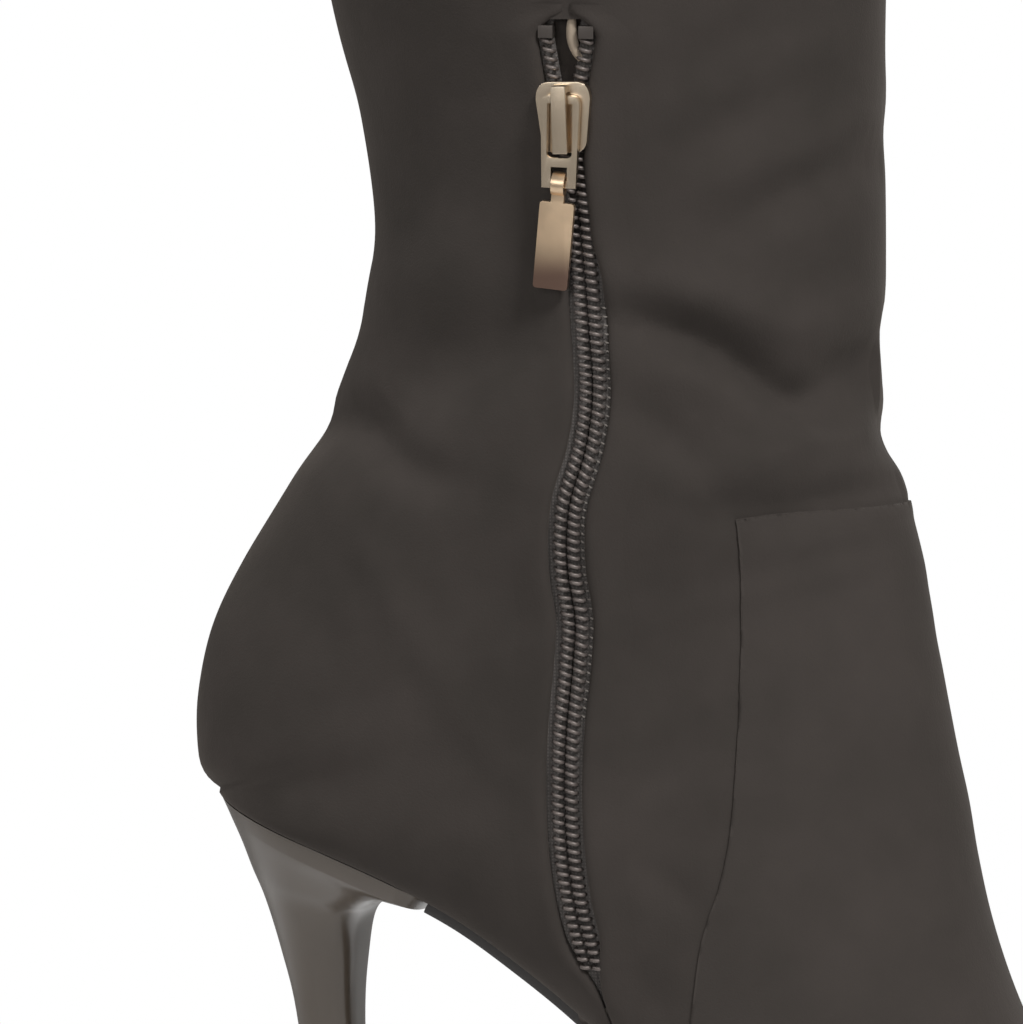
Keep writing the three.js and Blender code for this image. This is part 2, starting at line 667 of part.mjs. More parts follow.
// The slider sits on the zip at its own height, and the pull turns in its bridge.
const seatPoint = zipCurve.getPointAt(sliderShare);
const zipDown = zipCurve.getTangentAt(sliderShare);
const outward = medialNormal(seatPoint.x, seatPoint.z);
const across = new THREE.Vector3(-zipDown.z, 0, zipDown.x).projectOnPlane(outward).normalize();
const upward = new THREE.Vector3().crossVectors(outward, across);
const slider = new THREE.Group();
slider.position.copy(underMedial(seatPoint.x, seatPoint.z, 0));
slider.setRotationFromMatrix(new THREE.Matrix4().makeBasis(across, upward, outward));
slider.rotateZ(sliderLean);
addPart('zip_slider', sliderGeometry(), nickel, slider);

const pull = new THREE.Group();
pull.position.set(0, hingeUp, hingeHeight);
pull.rotation.z = pullLean;
addPart('pull_frame', pullFrameGeometry(), nickel, pull);
const tab = new THREE.Group();
tab.position.set(0, farBar, 0);
tab.rotation.z = tabLean;
addPart('pull_tab', pullTabGeometry(), tabMetal, tab);
pull.add(tab);
slider.add(pull);
boot.add(slider);

// Move the origin to the middle of the bounding box, on the floor.
boot.updateMatrixWorld(true);
const bounds = new THREE.Box3().setFromObject(boot, true);
const middle = bounds.getCenter(new THREE.Vector3());
boot.position.set(-middle.x, -middle.y, -bounds.min.z);
boot.updateMatrixWorld(true);

export default boot;
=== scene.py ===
"""Looks of a knee-high stiletto boot: suede over a last, an exposed ankle zip, a glossy heel.

Lengths are in metres: +X to the toe, -Y the inner side with the zip, +Z up from the floor. Most
shapes are worked out with x from the back of the heel, and mesh_object moves them into the frame.
"""

import math
from types import SimpleNamespace

import bmesh
import bpy
import numpy as np
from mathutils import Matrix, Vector


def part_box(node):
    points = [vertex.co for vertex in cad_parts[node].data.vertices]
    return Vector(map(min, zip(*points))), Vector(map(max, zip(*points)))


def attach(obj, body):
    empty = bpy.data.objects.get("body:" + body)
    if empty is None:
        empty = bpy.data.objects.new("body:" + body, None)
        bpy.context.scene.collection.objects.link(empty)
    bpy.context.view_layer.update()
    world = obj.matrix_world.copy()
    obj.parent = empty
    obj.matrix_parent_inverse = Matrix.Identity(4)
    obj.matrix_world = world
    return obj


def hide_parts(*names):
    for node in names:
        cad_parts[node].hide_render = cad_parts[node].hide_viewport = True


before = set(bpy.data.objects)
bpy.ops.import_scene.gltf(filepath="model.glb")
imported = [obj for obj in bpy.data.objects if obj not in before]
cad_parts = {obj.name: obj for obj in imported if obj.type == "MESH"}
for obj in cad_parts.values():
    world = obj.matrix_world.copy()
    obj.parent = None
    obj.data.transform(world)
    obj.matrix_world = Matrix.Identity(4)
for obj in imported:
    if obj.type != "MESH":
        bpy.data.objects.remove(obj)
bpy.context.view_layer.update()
MM = 0.001

# Boot sizes, as the solids have them
SHOE_LENGTH, BALL_WIDTH, HEEL_WIDTH = 0.2345, 0.0815, 0.067
HEEL_HEIGHT, SHAFT_HEIGHT = 0.105, 0.380
CALF_DEPTH, CALF_WIDTH = 0.119, 0.113
WALL, GAP = 1.8 * MM, 0.3 * MM
SOLE, SHANK, LIFT = 3.2 * MM, 1.8 * MM, 6 * MM
TREAD_LIFT = SOLE + GAP
HEEL_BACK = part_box("upper")[0].x

LEG_ROWS = np.array([
    # height, front, depth, width, widest, front curve, back curve
    [1.000, 0.507, 0.962, 0.956, 0.47, 2, 2],
    [0.870, 0.510, 0.992, 0.987, 0.46, 2, 2],
    [0.750, 0.510, 1.000, 1.000, 0.46, 2, 2],
    [0.605, 0.505, 0.958, 0.960, 0.46, 2, 2],
    [0.475, 0.496, 0.864, 0.858, 0.47, 2, 2],
    [0.347, 0.493, 0.777, 0.735, 0.48, 2, 1.95],
    [0.294, 0.493, 0.734, 0.681, 0.49, 2, 1.9],
    [0.241, 0.493, 0.715, 0.646, 0.50, 2, 1.9],
    [0.202, 0.492, 0.736, 0.642, 0.50, 2, 1.9],
    [0.176, 0.490, 0.769, 0.655, 0.50, 2, 1.9],
    [0.158, 0.488, 0.779, 0.664, 0.50, 2, 1.9],
])
HEEL_ROWS = np.array([
    # low x, low z, high x, high z, width, feather, swing, widest, top curve, low curve
    [0.068, 1.136, 0.503, 1.143, 1.127, 0.716, 0, 0.50, 2, 1.9],
    [0.032, 1.100, 0.511, 1.128, 1.097, 0.716, 0, 0.50, 2, 1.95],
    [0.010, 1.071, 0.513, 1.120, 1.067, 0.716, 0, 0.48, 2, 2.05],
    [0.000, 1.041, 0.515, 1.114, 1.045, 0.716, 0, 0.47, 1.95, 2.15],
    [0.000, 1.018, 0.517, 1.107, 1.030, 0.716, 0, 0.46, 1.95, 2.2],
    [0.005, 1.007, 0.519, 1.100, 1.022, 0.716, 0, 0.45, 1.9, 2.25],
    [0.0175, 1.000, 0.521, 1.091, 1.015, 0.716, 0, 0.44, 1.9, 2.3],
    [0.036, 0.979, 0.524, 1.080, 1.007, 0.716, 0, 0.44, 1.9, 2.3],
    [0.0725, 0.945, 0.527, 1.068, 1.000, 0.724, 0, 0.43, 1.9, 2.3],
    [0.119, 0.902, 0.531, 1.055, 0.993, 0.716, 0.003, 0.42, 1.9, 2.3],
    [0.166, 0.853, 0.536, 1.038, 0.993, 0.694, 0.007, 0.41, 1.9, 2.3],
    [0.207, 0.801, 0.542, 1.018, 0.993, 0.664, 0.015, 0.40, 1.9, 2.25],
    [0.247, 0.735, 0.549, 0.990, 1.000, 0.642, 0.022, 0.39, 1.9, 2.2],
    [0.290, 0.655, 0.555, 0.902, 1.007, 0.627, 0.030, 0.37, 1.9, 2.2],
])
FOOT_ROWS = np.array([
    # low x, low z, high x, high z, width, feather, swing, widest, top curve, low curve
    [0.341, 0.547, 0.564, 0.803, 0.840, 0.521, 0.028, 0.34, 1.95, 2.2],
    [0.397, 0.421, 0.577, 0.706, 0.859, 0.552, 0.028, 0.31, 1.95, 2.2],
    [0.452, 0.296, 0.592, 0.621, 0.890, 0.613, 0.025, 0.29, 2, 2.2],
    [0.507, 0.180, 0.612, 0.537, 0.926, 0.687, 0.016, 0.28, 2, 2.2],
    [0.559, 0.093, 0.637, 0.460, 0.963, 0.761, 0.006, 0.28, 2.05, 2.2],
    [0.605, 0.038, 0.666, 0.397, 0.994, 0.822, -0.004, 0.29, 2.1, 2.2],
    [0.648, 0.010, 0.700, 0.345, 1.000, 0.853, -0.012, 0.30, 2.1, 2.2],
    [0.691, 0.000, 0.736, 0.303, 0.982, 0.840, -0.022, 0.30, 2.15, 2.2],
    [0.750, 0.000, 0.780, 0.262, 0.908, 0.773, -0.034, 0.30, 2.15, 2.2],
    [0.810, 0.003, 0.829, 0.230, 0.785, 0.650, -0.044, 0.32, 2.15, 2.2],
    [0.870, 0.014, 0.881, 0.198, 0.620, 0.497, -0.053, 0.34, 2.15, 2.2],
    [0.921, 0.029, 0.927, 0.166, 0.442, 0.337, -0.059, 0.36, 2.1, 2.2],
    [0.964, 0.044, 0.966, 0.134, 0.270, 0.190, -0.063, 0.38, 2.1, 2.1],
    [0.989, 0.054, 0.989, 0.104, 0.130, 0.080, -0.064, 0.40, 2, 2],
    [1.000, 0.064, 1.000, 0.064, 0, 0, -0.064, 0.40, 2, 2],
])
COLUMNS = ["low_x", "low_z", "high_x", "high_z", "half", "feather", "swing", "widest", "top", "low"]


def unit(vectors):
    return vectors / np.linalg.norm(vectors, axis=-1, keepdims=True)


def level(share):
    """Height of a level: 0 the lowest feather edge, 1 the back of the seat, 2 the collar."""
    share = np.asarray(share, float)
    below = TREAD_LIFT + share * (HEEL_HEIGHT - TREAD_LIFT)
    return np.where(share < 1, below, HEEL_HEIGHT + (share - 1) * SHAFT_HEIGHT)


def leg_sections(rows):
    height, front, depth, width, widest, top, low = rows.T
    z, high_x, none = level(1 + height), front * SHOE_LENGTH, 0 * height
    return np.stack([high_x - depth * CALF_DEPTH, z, high_x, z, width * CALF_WIDTH / 2,
                     none, none, widest, top, low], 1)


def foot_sections(rows, unit):
    lx, lz, hx, hz, width, feather, swing, widest, top, low = rows.T
    return np.stack([lx * SHOE_LENGTH, level(lz), hx * SHOE_LENGTH, level(hz), width * unit / 2,
                     feather * unit / 2, swing * unit, widest, top, low], 1)


SECTIONS = np.concatenate([leg_sections(LEG_ROWS), foot_sections(HEEL_ROWS, HEEL_WIDTH),
                           foot_sections(FOOT_ROWS, BALL_WIDTH)])
SEAT_AT = len(LEG_ROWS) + 6
VAMP_AT = len(LEG_ROWS) + 1
TOE_AT = len(SECTIONS) - 1
SEAT_TUCK, SEAT_TUCK_REACH = 1.2, 1.5  # how much tighter the upper curls in by the seat


def between_rows(table, at):
    """Values at row positions of a table, on a smooth curve through its rows."""
    at, last = np.asarray(at, float), len(table) - 1
    i = np.clip(np.floor(at).astype(int), 0, last - 1)
    t = (at - i)[..., None]
    p, q, r, s = (table[np.clip(i + k, 0, last)] for k in (-1, 0, 1, 2))
    return q + 0.5 * t * (r - p + t * (2 * p - 5 * q + 4 * r - s + t * (3 * (q - r) + s - p)))


def section_at(u):
    """The upper's sections at row positions u, as named values."""
    u = np.asarray(u, float)
    values = between_rows(SECTIONS, u)
    section = {name: values[..., k] for k, name in enumerate(COLUMNS)}
    seat_x, seat_z = SECTIONS[SEAT_AT, :2]
    along = np.hypot(section["low_x"] - seat_x, section["low_z"] - seat_z)
    short = 1 - np.minimum(along / np.maximum(section["feather"], 1e-6), 1)
    round_end = section["feather"] * np.sqrt(1 - short ** 2)
    section["base"] = np.where(u <= SEAT_AT, 0, round_end)
    section["tuck"] = 1 + SEAT_TUCK * np.exp(-((u - SEAT_AT) / SEAT_TUCK_REACH) ** 2)
    return section


def upper_point(u, turn):
    """Outer face of the upper. The turn is 0 at the inner feather edge, PI at the high point."""
    s = section_at(u)
    side = np.where(turn < math.pi, -1, 1)
    angle = np.where(side < 0, turn, 2 * math.pi - turn)
    is_low = angle < math.pi / 2
    power = 2 / np.where(is_low, s["low"], s["top"])
    run = np.abs(np.cos(angle)) ** power
    rise = np.abs(np.sin(angle)) ** power
    share = np.where(is_low, s["widest"] * (1 - run), s["widest"] + (1 - s["widest"]) * run)
    inner = np.where(is_low, s["base"], 0)
    x = s["low_x"] + share * (s["high_x"] - s["low_x"])
    y = s["swing"] + side * (s["half"] * rise + inner * (1 - rise) ** s["tuck"])
    z = s["low_z"] + share * (s["high_z"] - s["low_z"])
    return np.stack([x, y, z], -1)


def medial_y(x, z):
    """The inner side's y over points of the side view."""
    x, z = np.broadcast_arrays(np.asarray(x, float), np.asarray(z, float))
    low, high = np.zeros(x.shape), np.full(x.shape, float(TOE_AT))
    for _ in range(26):
        mid = (low + high) / 2
        s = section_at(mid)
        side = ((s["high_x"] - s["low_x"]) * (z - s["low_z"])
                - (s["high_z"] - s["low_z"]) * (x - s["low_x"]))
        low, high = np.where(side > 0, low, mid), np.where(side > 0, mid, high)
    s = section_at(low)
    dx, dz = s["high_x"] - s["low_x"], s["high_z"] - s["low_z"]
    share = ((x - s["low_x"]) * dx + (z - s["low_z"]) * dz) / (dx ** 2 + dz ** 2)
    under = np.clip((s["widest"] - share) / s["widest"], 0, 1)
    over = np.clip((share - s["widest"]) / (1 - s["widest"]), 0, 1)
    rise = (1 - under ** s["low"]) ** (1 / s["low"])
    below = s["half"] * rise + s["base"] * (1 - rise) ** s["tuck"]
    above = s["half"] * (1 - over ** s["top"]) ** (1 / s["top"])
    return s["swing"] - np.where(share < s["widest"], below, above)


def over_medial(x, z, height):
    """Points at a height over the inner side."""
    e = 0.5 * MM
    slope_x = (medial_y(x + e, z) - medial_y(x - e, z)) / (2 * e)
    slope_z = (medial_y(x, z + e) - medial_y(x, z - e)) / (2 * e)
    normal = unit(np.stack([slope_x, -np.ones_like(slope_x), slope_z], -1))
    return np.stack([x, medial_y(x, z), z], -1) + normal * np.asarray(height)[..., None]


# Meshes

def new_object(name, data):
    obj = bpy.data.objects.new(name, data)
    bpy.context.scene.collection.objects.link(obj)
    return obj


def shaded_object(name, mesh, material):
    """A smooth shaded object of a mesh, in one material."""
    mesh.polygons.foreach_set("use_smooth", [True] * len(mesh.polygons))
    mesh.materials.clear()
    mesh.materials.append(material)
    mesh.update()
    return new_object(name, mesh)


def mesh_object(name, points, faces, material):
    """A mesh object from points in boot coordinates, whose x runs from the back of the heel."""
    points = np.asarray(points, float).reshape(-1, 3) + (HEEL_BACK, 0, 0)
    mesh = bpy.data.meshes.new(name)
    faces = faces.tolist() if isinstance(faces, np.ndarray) else faces
    mesh.from_pydata(points.tolist(), [], faces)
    return shaded_object(name, mesh, material)


def grid_faces(rows, columns, wrap=False, keep=None):
    """Quads of a grid of points, closed round if it wraps; keep marks the cells that stay."""
    i, j = np.meshgrid(np.arange(rows - 1), np.arange(columns if wrap else columns - 1),
                       indexing="ij")
    nxt = (j + 1) % columns
    quads = np.stack([i * columns + j, (i + 1) * columns + j,
                      (i + 1) * columns + nxt, i * columns + nxt], -1)
    quads = quads if keep is None else quads[keep]
    return quads.reshape(-1, 4)


def capped_faces(rows, count):
    """Faces of a closed tube of rings, with a cap at each end."""
    faces, last = grid_faces(rows, count, wrap=True).tolist(), (rows - 1) * count
    return faces + [list(range(count)), [last + k for k in reversed(range(count))]]


def sheet(name, grid, material, flip=False):
    """A mesh object of one whole grid of points."""
    grid = np.asarray(grid)
    faces = grid_faces(*grid.shape[:2])
    return mesh_object(name, grid, faces[:, ::-1] if flip else faces, material)


def grid_normals(grid):
    du = np.gradient(grid, axis=0)
    dv = np.gradient(grid, axis=1)
    normal = np.cross(du, dv)
    return normal / np.maximum(np.linalg.norm(normal, axis=-1, keepdims=True), 1e-12)


def place(obj, slot, *nodes, body="boot"):
    """Hang a piece from the empty of the body it rides, and hide the solids it stands for; the slot
    is not used.
    """
    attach(obj, body)
    if nodes:
        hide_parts(*nodes)


def smoothstep(a, b, x):
    t = np.clip((x - a) / (b - a), 0, 1)
    return t * t * (3 - 2 * t)


# Materials

def new_material(name):
    material = bpy.data.materials.new(name)
    material.use_nodes = True
    nodes, links = material.node_tree.nodes, material.node_tree.links
    return SimpleNamespace(material=material, nodes=nodes, join=links.new,
                           shader=nodes["Principled BSDF"],
                           at=nodes.new("ShaderNodeTexCoord").outputs["Object"])


def srgb(*values):
    """Scene colour of an 8-bit sRGB value."""
    linear = [((v / 255 + 0.055) / 1.055) ** 2.4 for v in values]
    return (*linear, 1)


def set_values(node, **values):
    for name, value in values.items():
        node.inputs[name.replace("_", " ")].default_value = value


def noise(paint, scale, detail, roughness, stretch=None):
    texture = paint.nodes.new("ShaderNodeTexNoise")
    set_values(texture, Scale=scale, Detail=detail, Roughness=roughness)
    at = paint.at
    if stretch:
        mapping = paint.nodes.new("ShaderNodeMapping")
        set_values(mapping, Scale=stretch)
        paint.join(at, mapping.inputs["Vector"])
        at = mapping.outputs["Vector"]
    paint.join(at, texture.inputs["Vector"])
    return texture.outputs["Fac"]


def colour_by(paint, value, dark, light, low=0.3, high=0.7):
    """Colour the surface from dark to light as the value goes from low to high."""
    node = paint.nodes.new("ShaderNodeValToRGB")
    for element, position, colour in zip(node.color_ramp.elements, (low, high), (dark, light)):
        element.position, element.color = position, colour
    paint.join(value, node.inputs["Fac"])
    paint.join(node.outputs["Color"], paint.shader.inputs["Base Color"])


def map_range(nodes, join, value, interpolation="SMOOTHSTEP", **limits):
    node = nodes.new("ShaderNodeMapRange")
    node.interpolation_type = interpolation
    set_values(node, **limits)
    join(value, node.inputs["Value"])
    return node.outputs["Result"]


def mix_to(output, nodes, join, share, first, second):
    """Send a mix of two shaders to an output node."""
    mix = nodes.new("ShaderNodeMixShader")
    for value, socket in zip((share, first.outputs[0], second.outputs[0]), mix.inputs):
        join(value, socket)
    join(mix.outputs["Shader"], output.inputs["Surface"])


def bump(paint, height, strength, distance, below=None):
    """Raise the surface by a height, over another bump if there is one."""
    node = paint.nodes.new("ShaderNodeBump")
    set_values(node, Strength=strength, Distance=distance)
    paint.join(height, node.inputs["Height"])
    if below:
        paint.join(below, node.inputs["Normal"])
    paint.join(node.outputs["Normal"], paint.shader.inputs["Normal"])
    return node.outputs["Normal"]


def suede(name, dark, light, sheen):
    """Microsuede: a soft nap with cloudy brushing, a fine fibre grain and an edge sheen."""
    paint = new_material(name)
    colour_by(paint, noise(paint, 38, 3, 0.6), dark, light)
    set_values(paint.shader, Roughness=0.95, Specular_IOR_Level=0.15, Sheen_Weight=sheen,
               Sheen_Roughness=0.45, Sheen_Tint=srgb(190, 178, 166))
    fibre = noise(paint, 2600, 2, 0.6)
    brushed = noise(paint, 420, 3, 0.6, (1, 1, 0.5))
    bump(paint, fibre, 0.5, 0.12 * MM, bump(paint, brushed, 0.25, 0.25 * MM))
    return paint.material


def plain(name, colour, roughness, metallic=0.0, *, grain, depth, coat=0.0, vary=0.12):
    """A surface with fine grain, depth in millimetres, and a slight, cloudy change of colour."""
    paint = new_material(name)
    darker = tuple(c * (1 - vary) for c in colour[:3]) + (1,)
    lighter = tuple(min(1, c * (1 + vary)) for c in colour[:3]) + (1,)
    colour_by(paint, noise(paint, 90, 3, 0.6), darker, lighter)
    set_values(paint.shader, Roughness=roughness, Metallic=metallic, Coat_Weight=coat,
               Coat_Roughness=0.08)
    bump(paint, noise(paint, grain, 2, 0.5), 0.3, depth * MM)
    return paint.material


def weave(name, colour, pitch):
    """Woven tape: crossing threads at the given pitch."""
    bands_apart = math.pi / 10  # of a wave texture at scale 1, in metres
    paint = new_material(name)
    set_values(paint.shader, Roughness=0.9)
    cross = paint.nodes.new("ShaderNodeMath")
    cross.operation = "MULTIPLY"
    for socket, direction in zip(cross.inputs, ("X", "Z")):
        wave = paint.nodes.new("ShaderNodeTexWave")
        wave.bands_direction = direction
        set_values(wave, Scale=bands_apart / pitch, Distortion=0.6)
        paint.join(paint.at, wave.inputs["Vector"])
        paint.join(wave.outputs["Fac"], socket)
    dark = tuple(c * 0.6 for c in colour[:3]) + (1,)
    colour_by(paint, cross.outputs["Value"], dark, colour, 0.1, 0.6)
    bump(paint, cross.outputs["Value"], 0.6, 0.1 * MM)
    return paint.material


def darken_lower_end(material, dark):
    """Darken a plain material towards the lower end of its piece."""
    factor, first, second, mixed = 0, 6, 7, 2  # sockets of a colour mix
    nodes, join = material.node_tree.nodes, material.node_tree.links.new
    base_colour = nodes["Principled BSDF"].inputs["Base Color"]
    clean = base_colour.links[0].from_socket
    height = nodes.new("ShaderNodeSeparateXYZ")
    join(nodes.new("ShaderNodeTexCoord").outputs["Generated"], height.inputs[0])
    lower_share = map_range(nodes, join, height.outputs["Z"], From_Min=0.42, From_Max=0.1)
    blend = nodes.new("ShaderNodeMix")
    blend.data_type = "RGBA"
    join(lower_share, blend.inputs[factor])
    join(clean, blend.inputs[first])
    blend.inputs[second].default_value = dark
    join(blend.outputs[mixed], base_colour)


SUEDE = suede("suede_black", srgb(50, 46, 43), srgb(59, 54, 51), 0.12)
# the vamp's suede, a touch lighter than the rest: painted light, for the key light falling on the
# vamp
SUEDE_VAMP_PAINTED_LIGHT = suede("suede_vamp_painted_light", srgb(52, 48, 45), srgb(60, 55, 52), 0.12)
LINING = plain("lining_cloth", srgb(150, 136, 120), 0.9, grain=2200, depth=0.1)
LACQUER = plain("heel_lacquer", srgb(75, 66, 57), 0.3, grain=260, depth=0.02, coat=0.3, vary=0.04)
RUBBER = plain("black_rubber", srgb(34, 32, 31), 0.75, grain=1500, depth=0.12)
SOLE_SKIN = plain("sole_black", srgb(40, 37, 35), 0.6, grain=700, depth=0.15)
COIL = plain("coil_metal", srgb(100, 92, 88), 0.45, 0.45, grain=1800, depth=0.03)
NICKEL = plain("slider_metal", srgb(226, 208, 184), 0.26, 1.0, grain=1600, depth=0.02)
STOP_METAL = plain("stop_metal", srgb(96, 90, 86), 0.3, 0.8, grain=1600, depth=0.02)
TAB_METAL = plain("tab_metal", srgb(210, 184, 154), 0.36, 1.0, grain=700, depth=0.05, vary=0.2)
# the tab is darker towards its lower end
darken_lower_end(TAB_METAL, srgb(128, 104, 92))
TAPE = weave("tape_weave", srgb(92, 87, 84), 0.55 * MM)
THREAD = plain("thread", srgb(104, 98, 93), 0.8, grain=3000, depth=0.03)

# The zip's centre line in the side view

ZIP_POINTS = np.array([
    # x in shoe lengths, z as a level
    [0.301, 1.344], [0.300, 1.320], [0.299, 1.294], [0.304, 1.262], [0.309, 1.228],
    [0.3125, 1.202], [0.3155, 1.176], [0.311, 1.153], [0.299, 1.127], [0.297, 1.101],
    [0.301, 1.079], [0.299, 1.061], [0.294, 1.031], [0.2925, 0.983], [0.297, 0.852],
    [0.3065, 0.754], [0.317, 0.672],
])


def smooth_line(points, count):
    """Evenly spaced points and unit tangents on a smooth curve through the given points."""
    points = np.asarray(points, float)
    t = np.concatenate([[0], np.cumsum(np.sqrt(np.linalg.norm(np.diff(points, axis=0), axis=1)))])
    slope = np.gradient(points, t, axis=0)
    fine = np.linspace(0, t[-1], 2000)
    i = np.clip(np.searchsorted(t, fine, side="right") - 1, 0, len(points) - 2)
    h = (t[i + 1] - t[i])[:, None]
    w = ((fine - t[i])[:, None]) / h
    curve = ((2 * w ** 3 - 3 * w ** 2 + 1) * points[i] + (w ** 3 - 2 * w ** 2 + w) * h * slope[i]
             + (3 * w ** 2 - 2 * w ** 3) * points[i + 1] + (w ** 3 - w ** 2) * h * slope[i + 1])
    arc = np.concatenate([[0], np.cumsum(np.linalg.norm(np.diff(curve, axis=0), axis=1))])
    at = np.linspace(0, arc[-1], count)
    even = np.stack([np.interp(at, arc, curve[:, k]) for k in range(curve.shape[1])], 1)
    return at, even, unit(np.gradient(even, at, axis=0))


ZIP_AT, ZIP_LINE, ZIP_DOWN = smooth_line(
    np.stack([ZIP_POINTS[:, 0] * SHOE_LENGTH, level(ZIP_POINTS[:, 1])], 1), 400)
ZIP_LENGTH = ZIP_AT[-1]
SLIDER_AT = 0.112 * ZIP_LENGTH  # the slider's middle
ROWS_FROM, ROWS_TO = 6.3 * MM, SLIDER_AT - 1.5 * MM
CHAIN_FROM, CHAIN_TO = SLIDER_AT - 1 * MM, ZIP_LENGTH - 6 * MM
CHAIN_HALF, ROW_HALF, ROW_SPREAD, SLOT_MARGIN = 2.5 * MM, 1 * MM, 3.3 * MM, 0.8 * MM
PITCH = 1.42 * MM  # of the coil's turns
COIL_HALF, WIRE = 2.05 * MM, 0.36 * MM
SIDES = (("left", -1), ("right", 1))  # of the zip


def row_centre(along):
    """How far an open row's middle lies from the centre line."""
    opened = np.clip((ROWS_TO - along) / (ROWS_TO - ROWS_FROM), 0, 1)
    return (ROW_HALF + GAP / 2) + (ROW_SPREAD - ROW_HALF - GAP / 2) * opened ** 0.8


def slot_half(along):
    """Half width of the slot cut through the wall."""
    return np.maximum(CHAIN_HALF, row_centre(along) + ROW_HALF) + SLOT_MARGIN


def seen_half(along):
    """Half width of the slot between its folded edges, which close on the coil's foot."""
    closing = smoothstep(ZIP_LENGTH - 13 * MM, ZIP_LENGTH - 1 * MM, along)
    head = np.sqrt(np.clip((along - 2 * MM) / (3.5 * MM), 0.01, 1))
    return (slot_half(along) - 0.3 * MM) * (1 - 0.93 * closing) * head


def beside_zip(along, aside):
    """Side view points beside the zip's centre line, to the toe if positive, and past its ends."""
    on_line = np.clip(along, 0, ZIP_LENGTH)
    centre = np.stack([np.interp(on_line, ZIP_AT, ZIP_LINE[:, k]) for k in (0, 1)], -1)
    down = unit(np.stack([np.interp(on_line, ZIP_AT, ZIP_DOWN[:, k]) for k in (0, 1)], -1))
    extra = along - on_line
    return (centre[..., 0] - down[..., 1] * aside + down[..., 0] * extra,
            centre[..., 1] + down[..., 0] * aside + down[..., 1] * extra)


def zip_point(along, aside, height):
    """Points beside the zip's centre line, at a height over the suede."""
    along, aside, height = np.broadcast_arrays(along, aside, height)
    return over_medial(*beside_zip(along, aside), height)


def zip_distance(x, z):
    """Distance along and beside the zip's centre line for points of the side view."""
    points = np.stack([x.ravel(), z.ravel()], 1)
    nearest = np.empty(len(points), int)
    at_a_time = 20000  # keeps the table of gaps small
    for start in range(0, len(points), at_a_time):
        block = points[start:start + at_a_time]
        gaps = ((block[:, None] - ZIP_LINE[None]) ** 2).sum(2)
        nearest[start:start + at_a_time] = gaps.argmin(1)
    offset = points - ZIP_LINE[nearest]
    down = ZIP_DOWN[nearest]
    aside = -offset[:, 0] * down[:, 1] + offset[:, 1] * down[:, 0]
    past = offset[:, 0] * down[:, 0] + offset[:, 1] * down[:, 1]
    return ((ZIP_AT[nearest] + past).reshape(x.shape), aside.reshape(x.shape))


# Folds of the soft suede, in the side view. Each fold: height (negative for a trough), half
# width, then points x, z, all in millimetres.

INNER_FOLDS = [
    (-3.5, 3.9, [(75, 184.3), (82, 183.5), (90, 181), (97, 177), (103, 172.5), (109, 168)]),
    (-1.8, 3.2, [(95, 178), (101, 174), (106, 169.5), (109, 166.5)]),
    (-1.0, 6.0, [(96, 186), (107, 179), (117, 187)]),
    (-3.4, 3.8, [(105, 169), (109, 171), (113, 175), (119, 179.5)]),
    (1.9, 4.2, [(74, 190.5), (86, 190), (97, 186.5), (106, 182.5), (119, 187)]),
    (1.2, 3.6, [(83, 176), (92, 175), (99, 170)]),
    (-1.3, 3.4, [(78, 172), (87, 165), (95, 157)]),
    (2.1, 3.6, [(92, 157), (99, 161), (106, 164), (120, 167)]),
    (-2.4, 3.6, [(94, 152.5), (103, 152.5), (111, 154.5), (121, 157.5)]),
    (-1.7, 3.6, [(91, 195), (101, 202), (109, 207), (118, 213)]),
    (1.2, 3.8, [(86, 203), (98, 209), (108, 213), (118, 219)]),
    (-1.2, 4.2, [(84, 209), (96, 216), (110, 224)]),
    (-1.0, 4.5, [(84, 222), (96, 228), (110, 234)]),
    (-2.4, 4.2, [(24, 172), (30, 168), (42, 160), (54, 157)]),
    (1.6, 7.0, [(28, 186), (40, 190), (56, 196)]),
    (-2.8, 6.5, [(66, 182), (52, 177), (38, 171), (28, 168)]),
    (0.9, 3.2, [(25, 158), (31, 151), (37, 143), (47, 127), (57, 113), (64, 105)]),
    (-0.7, 6.0, [(18, 148), (25, 137), (34, 123), (42, 110)]),
    (0.7, 3.5, [(6, 109), (16, 106), (28, 103)]),
    (-1.0, 3.0, [(81, 97), (87, 91), (92, 86)]),
    (-0.9, 4.5, [(79, 80), (82, 74), (86, 69)]),
    (-0.8, 5.0, [(52, 150), (57, 140), (60, 130)]),
    (0.7, 5.0, [(81, 110), (80, 98), (82, 86)]),
]
OUTER_FOLDS = [
    (-1.9, 4.5, [(25, 178), (38, 171), (50, 163), (62, 160)]),
    (1.2, 6.0, [(32, 187), (50, 182), (66, 179)]),
    (-2.2, 3.6, [(68, 186), (84, 188), (98, 184), (109, 176)]),
    (-1.6, 3.2, [(105, 174), (111, 178), (117, 185)]),
    (1.2, 4.5, [(76, 195), (94, 195), (110, 188)]),
    (1.4, 4.5, [(88, 165), (104, 166), (118, 170)]),
    (-1.3, 2.6, [(97, 155.5), (108, 157), (118, 161)]),
    (-1.0, 3.8, [(88, 198), (102, 206), (117, 216)]),
    (0.8, 4.0, [(86, 207), (101, 215), (115, 222)]),
    (0.9, 2.4, [(28, 161), (34, 154), (47, 135), (58, 121), (66, 109)]),
    (-0.8, 5.0, [(24, 150), (33, 138), (44, 122)]),
]
FOLDS_LOW, FOLDS_HIGH, FOLDS_AHEAD = 55 * MM, 240 * MM, 128 * MM
REAR_TURN, FRONT_TURN = 45 * MM, 100 * MM  # behind and ahead of these the leg turns round
FADE_BY_MIDDLE = 9 * MM
WOBBLE, WOBBLE_FROM, WOBBLE_TO = 0.25 * MM, 120 * MM, 200 * MM


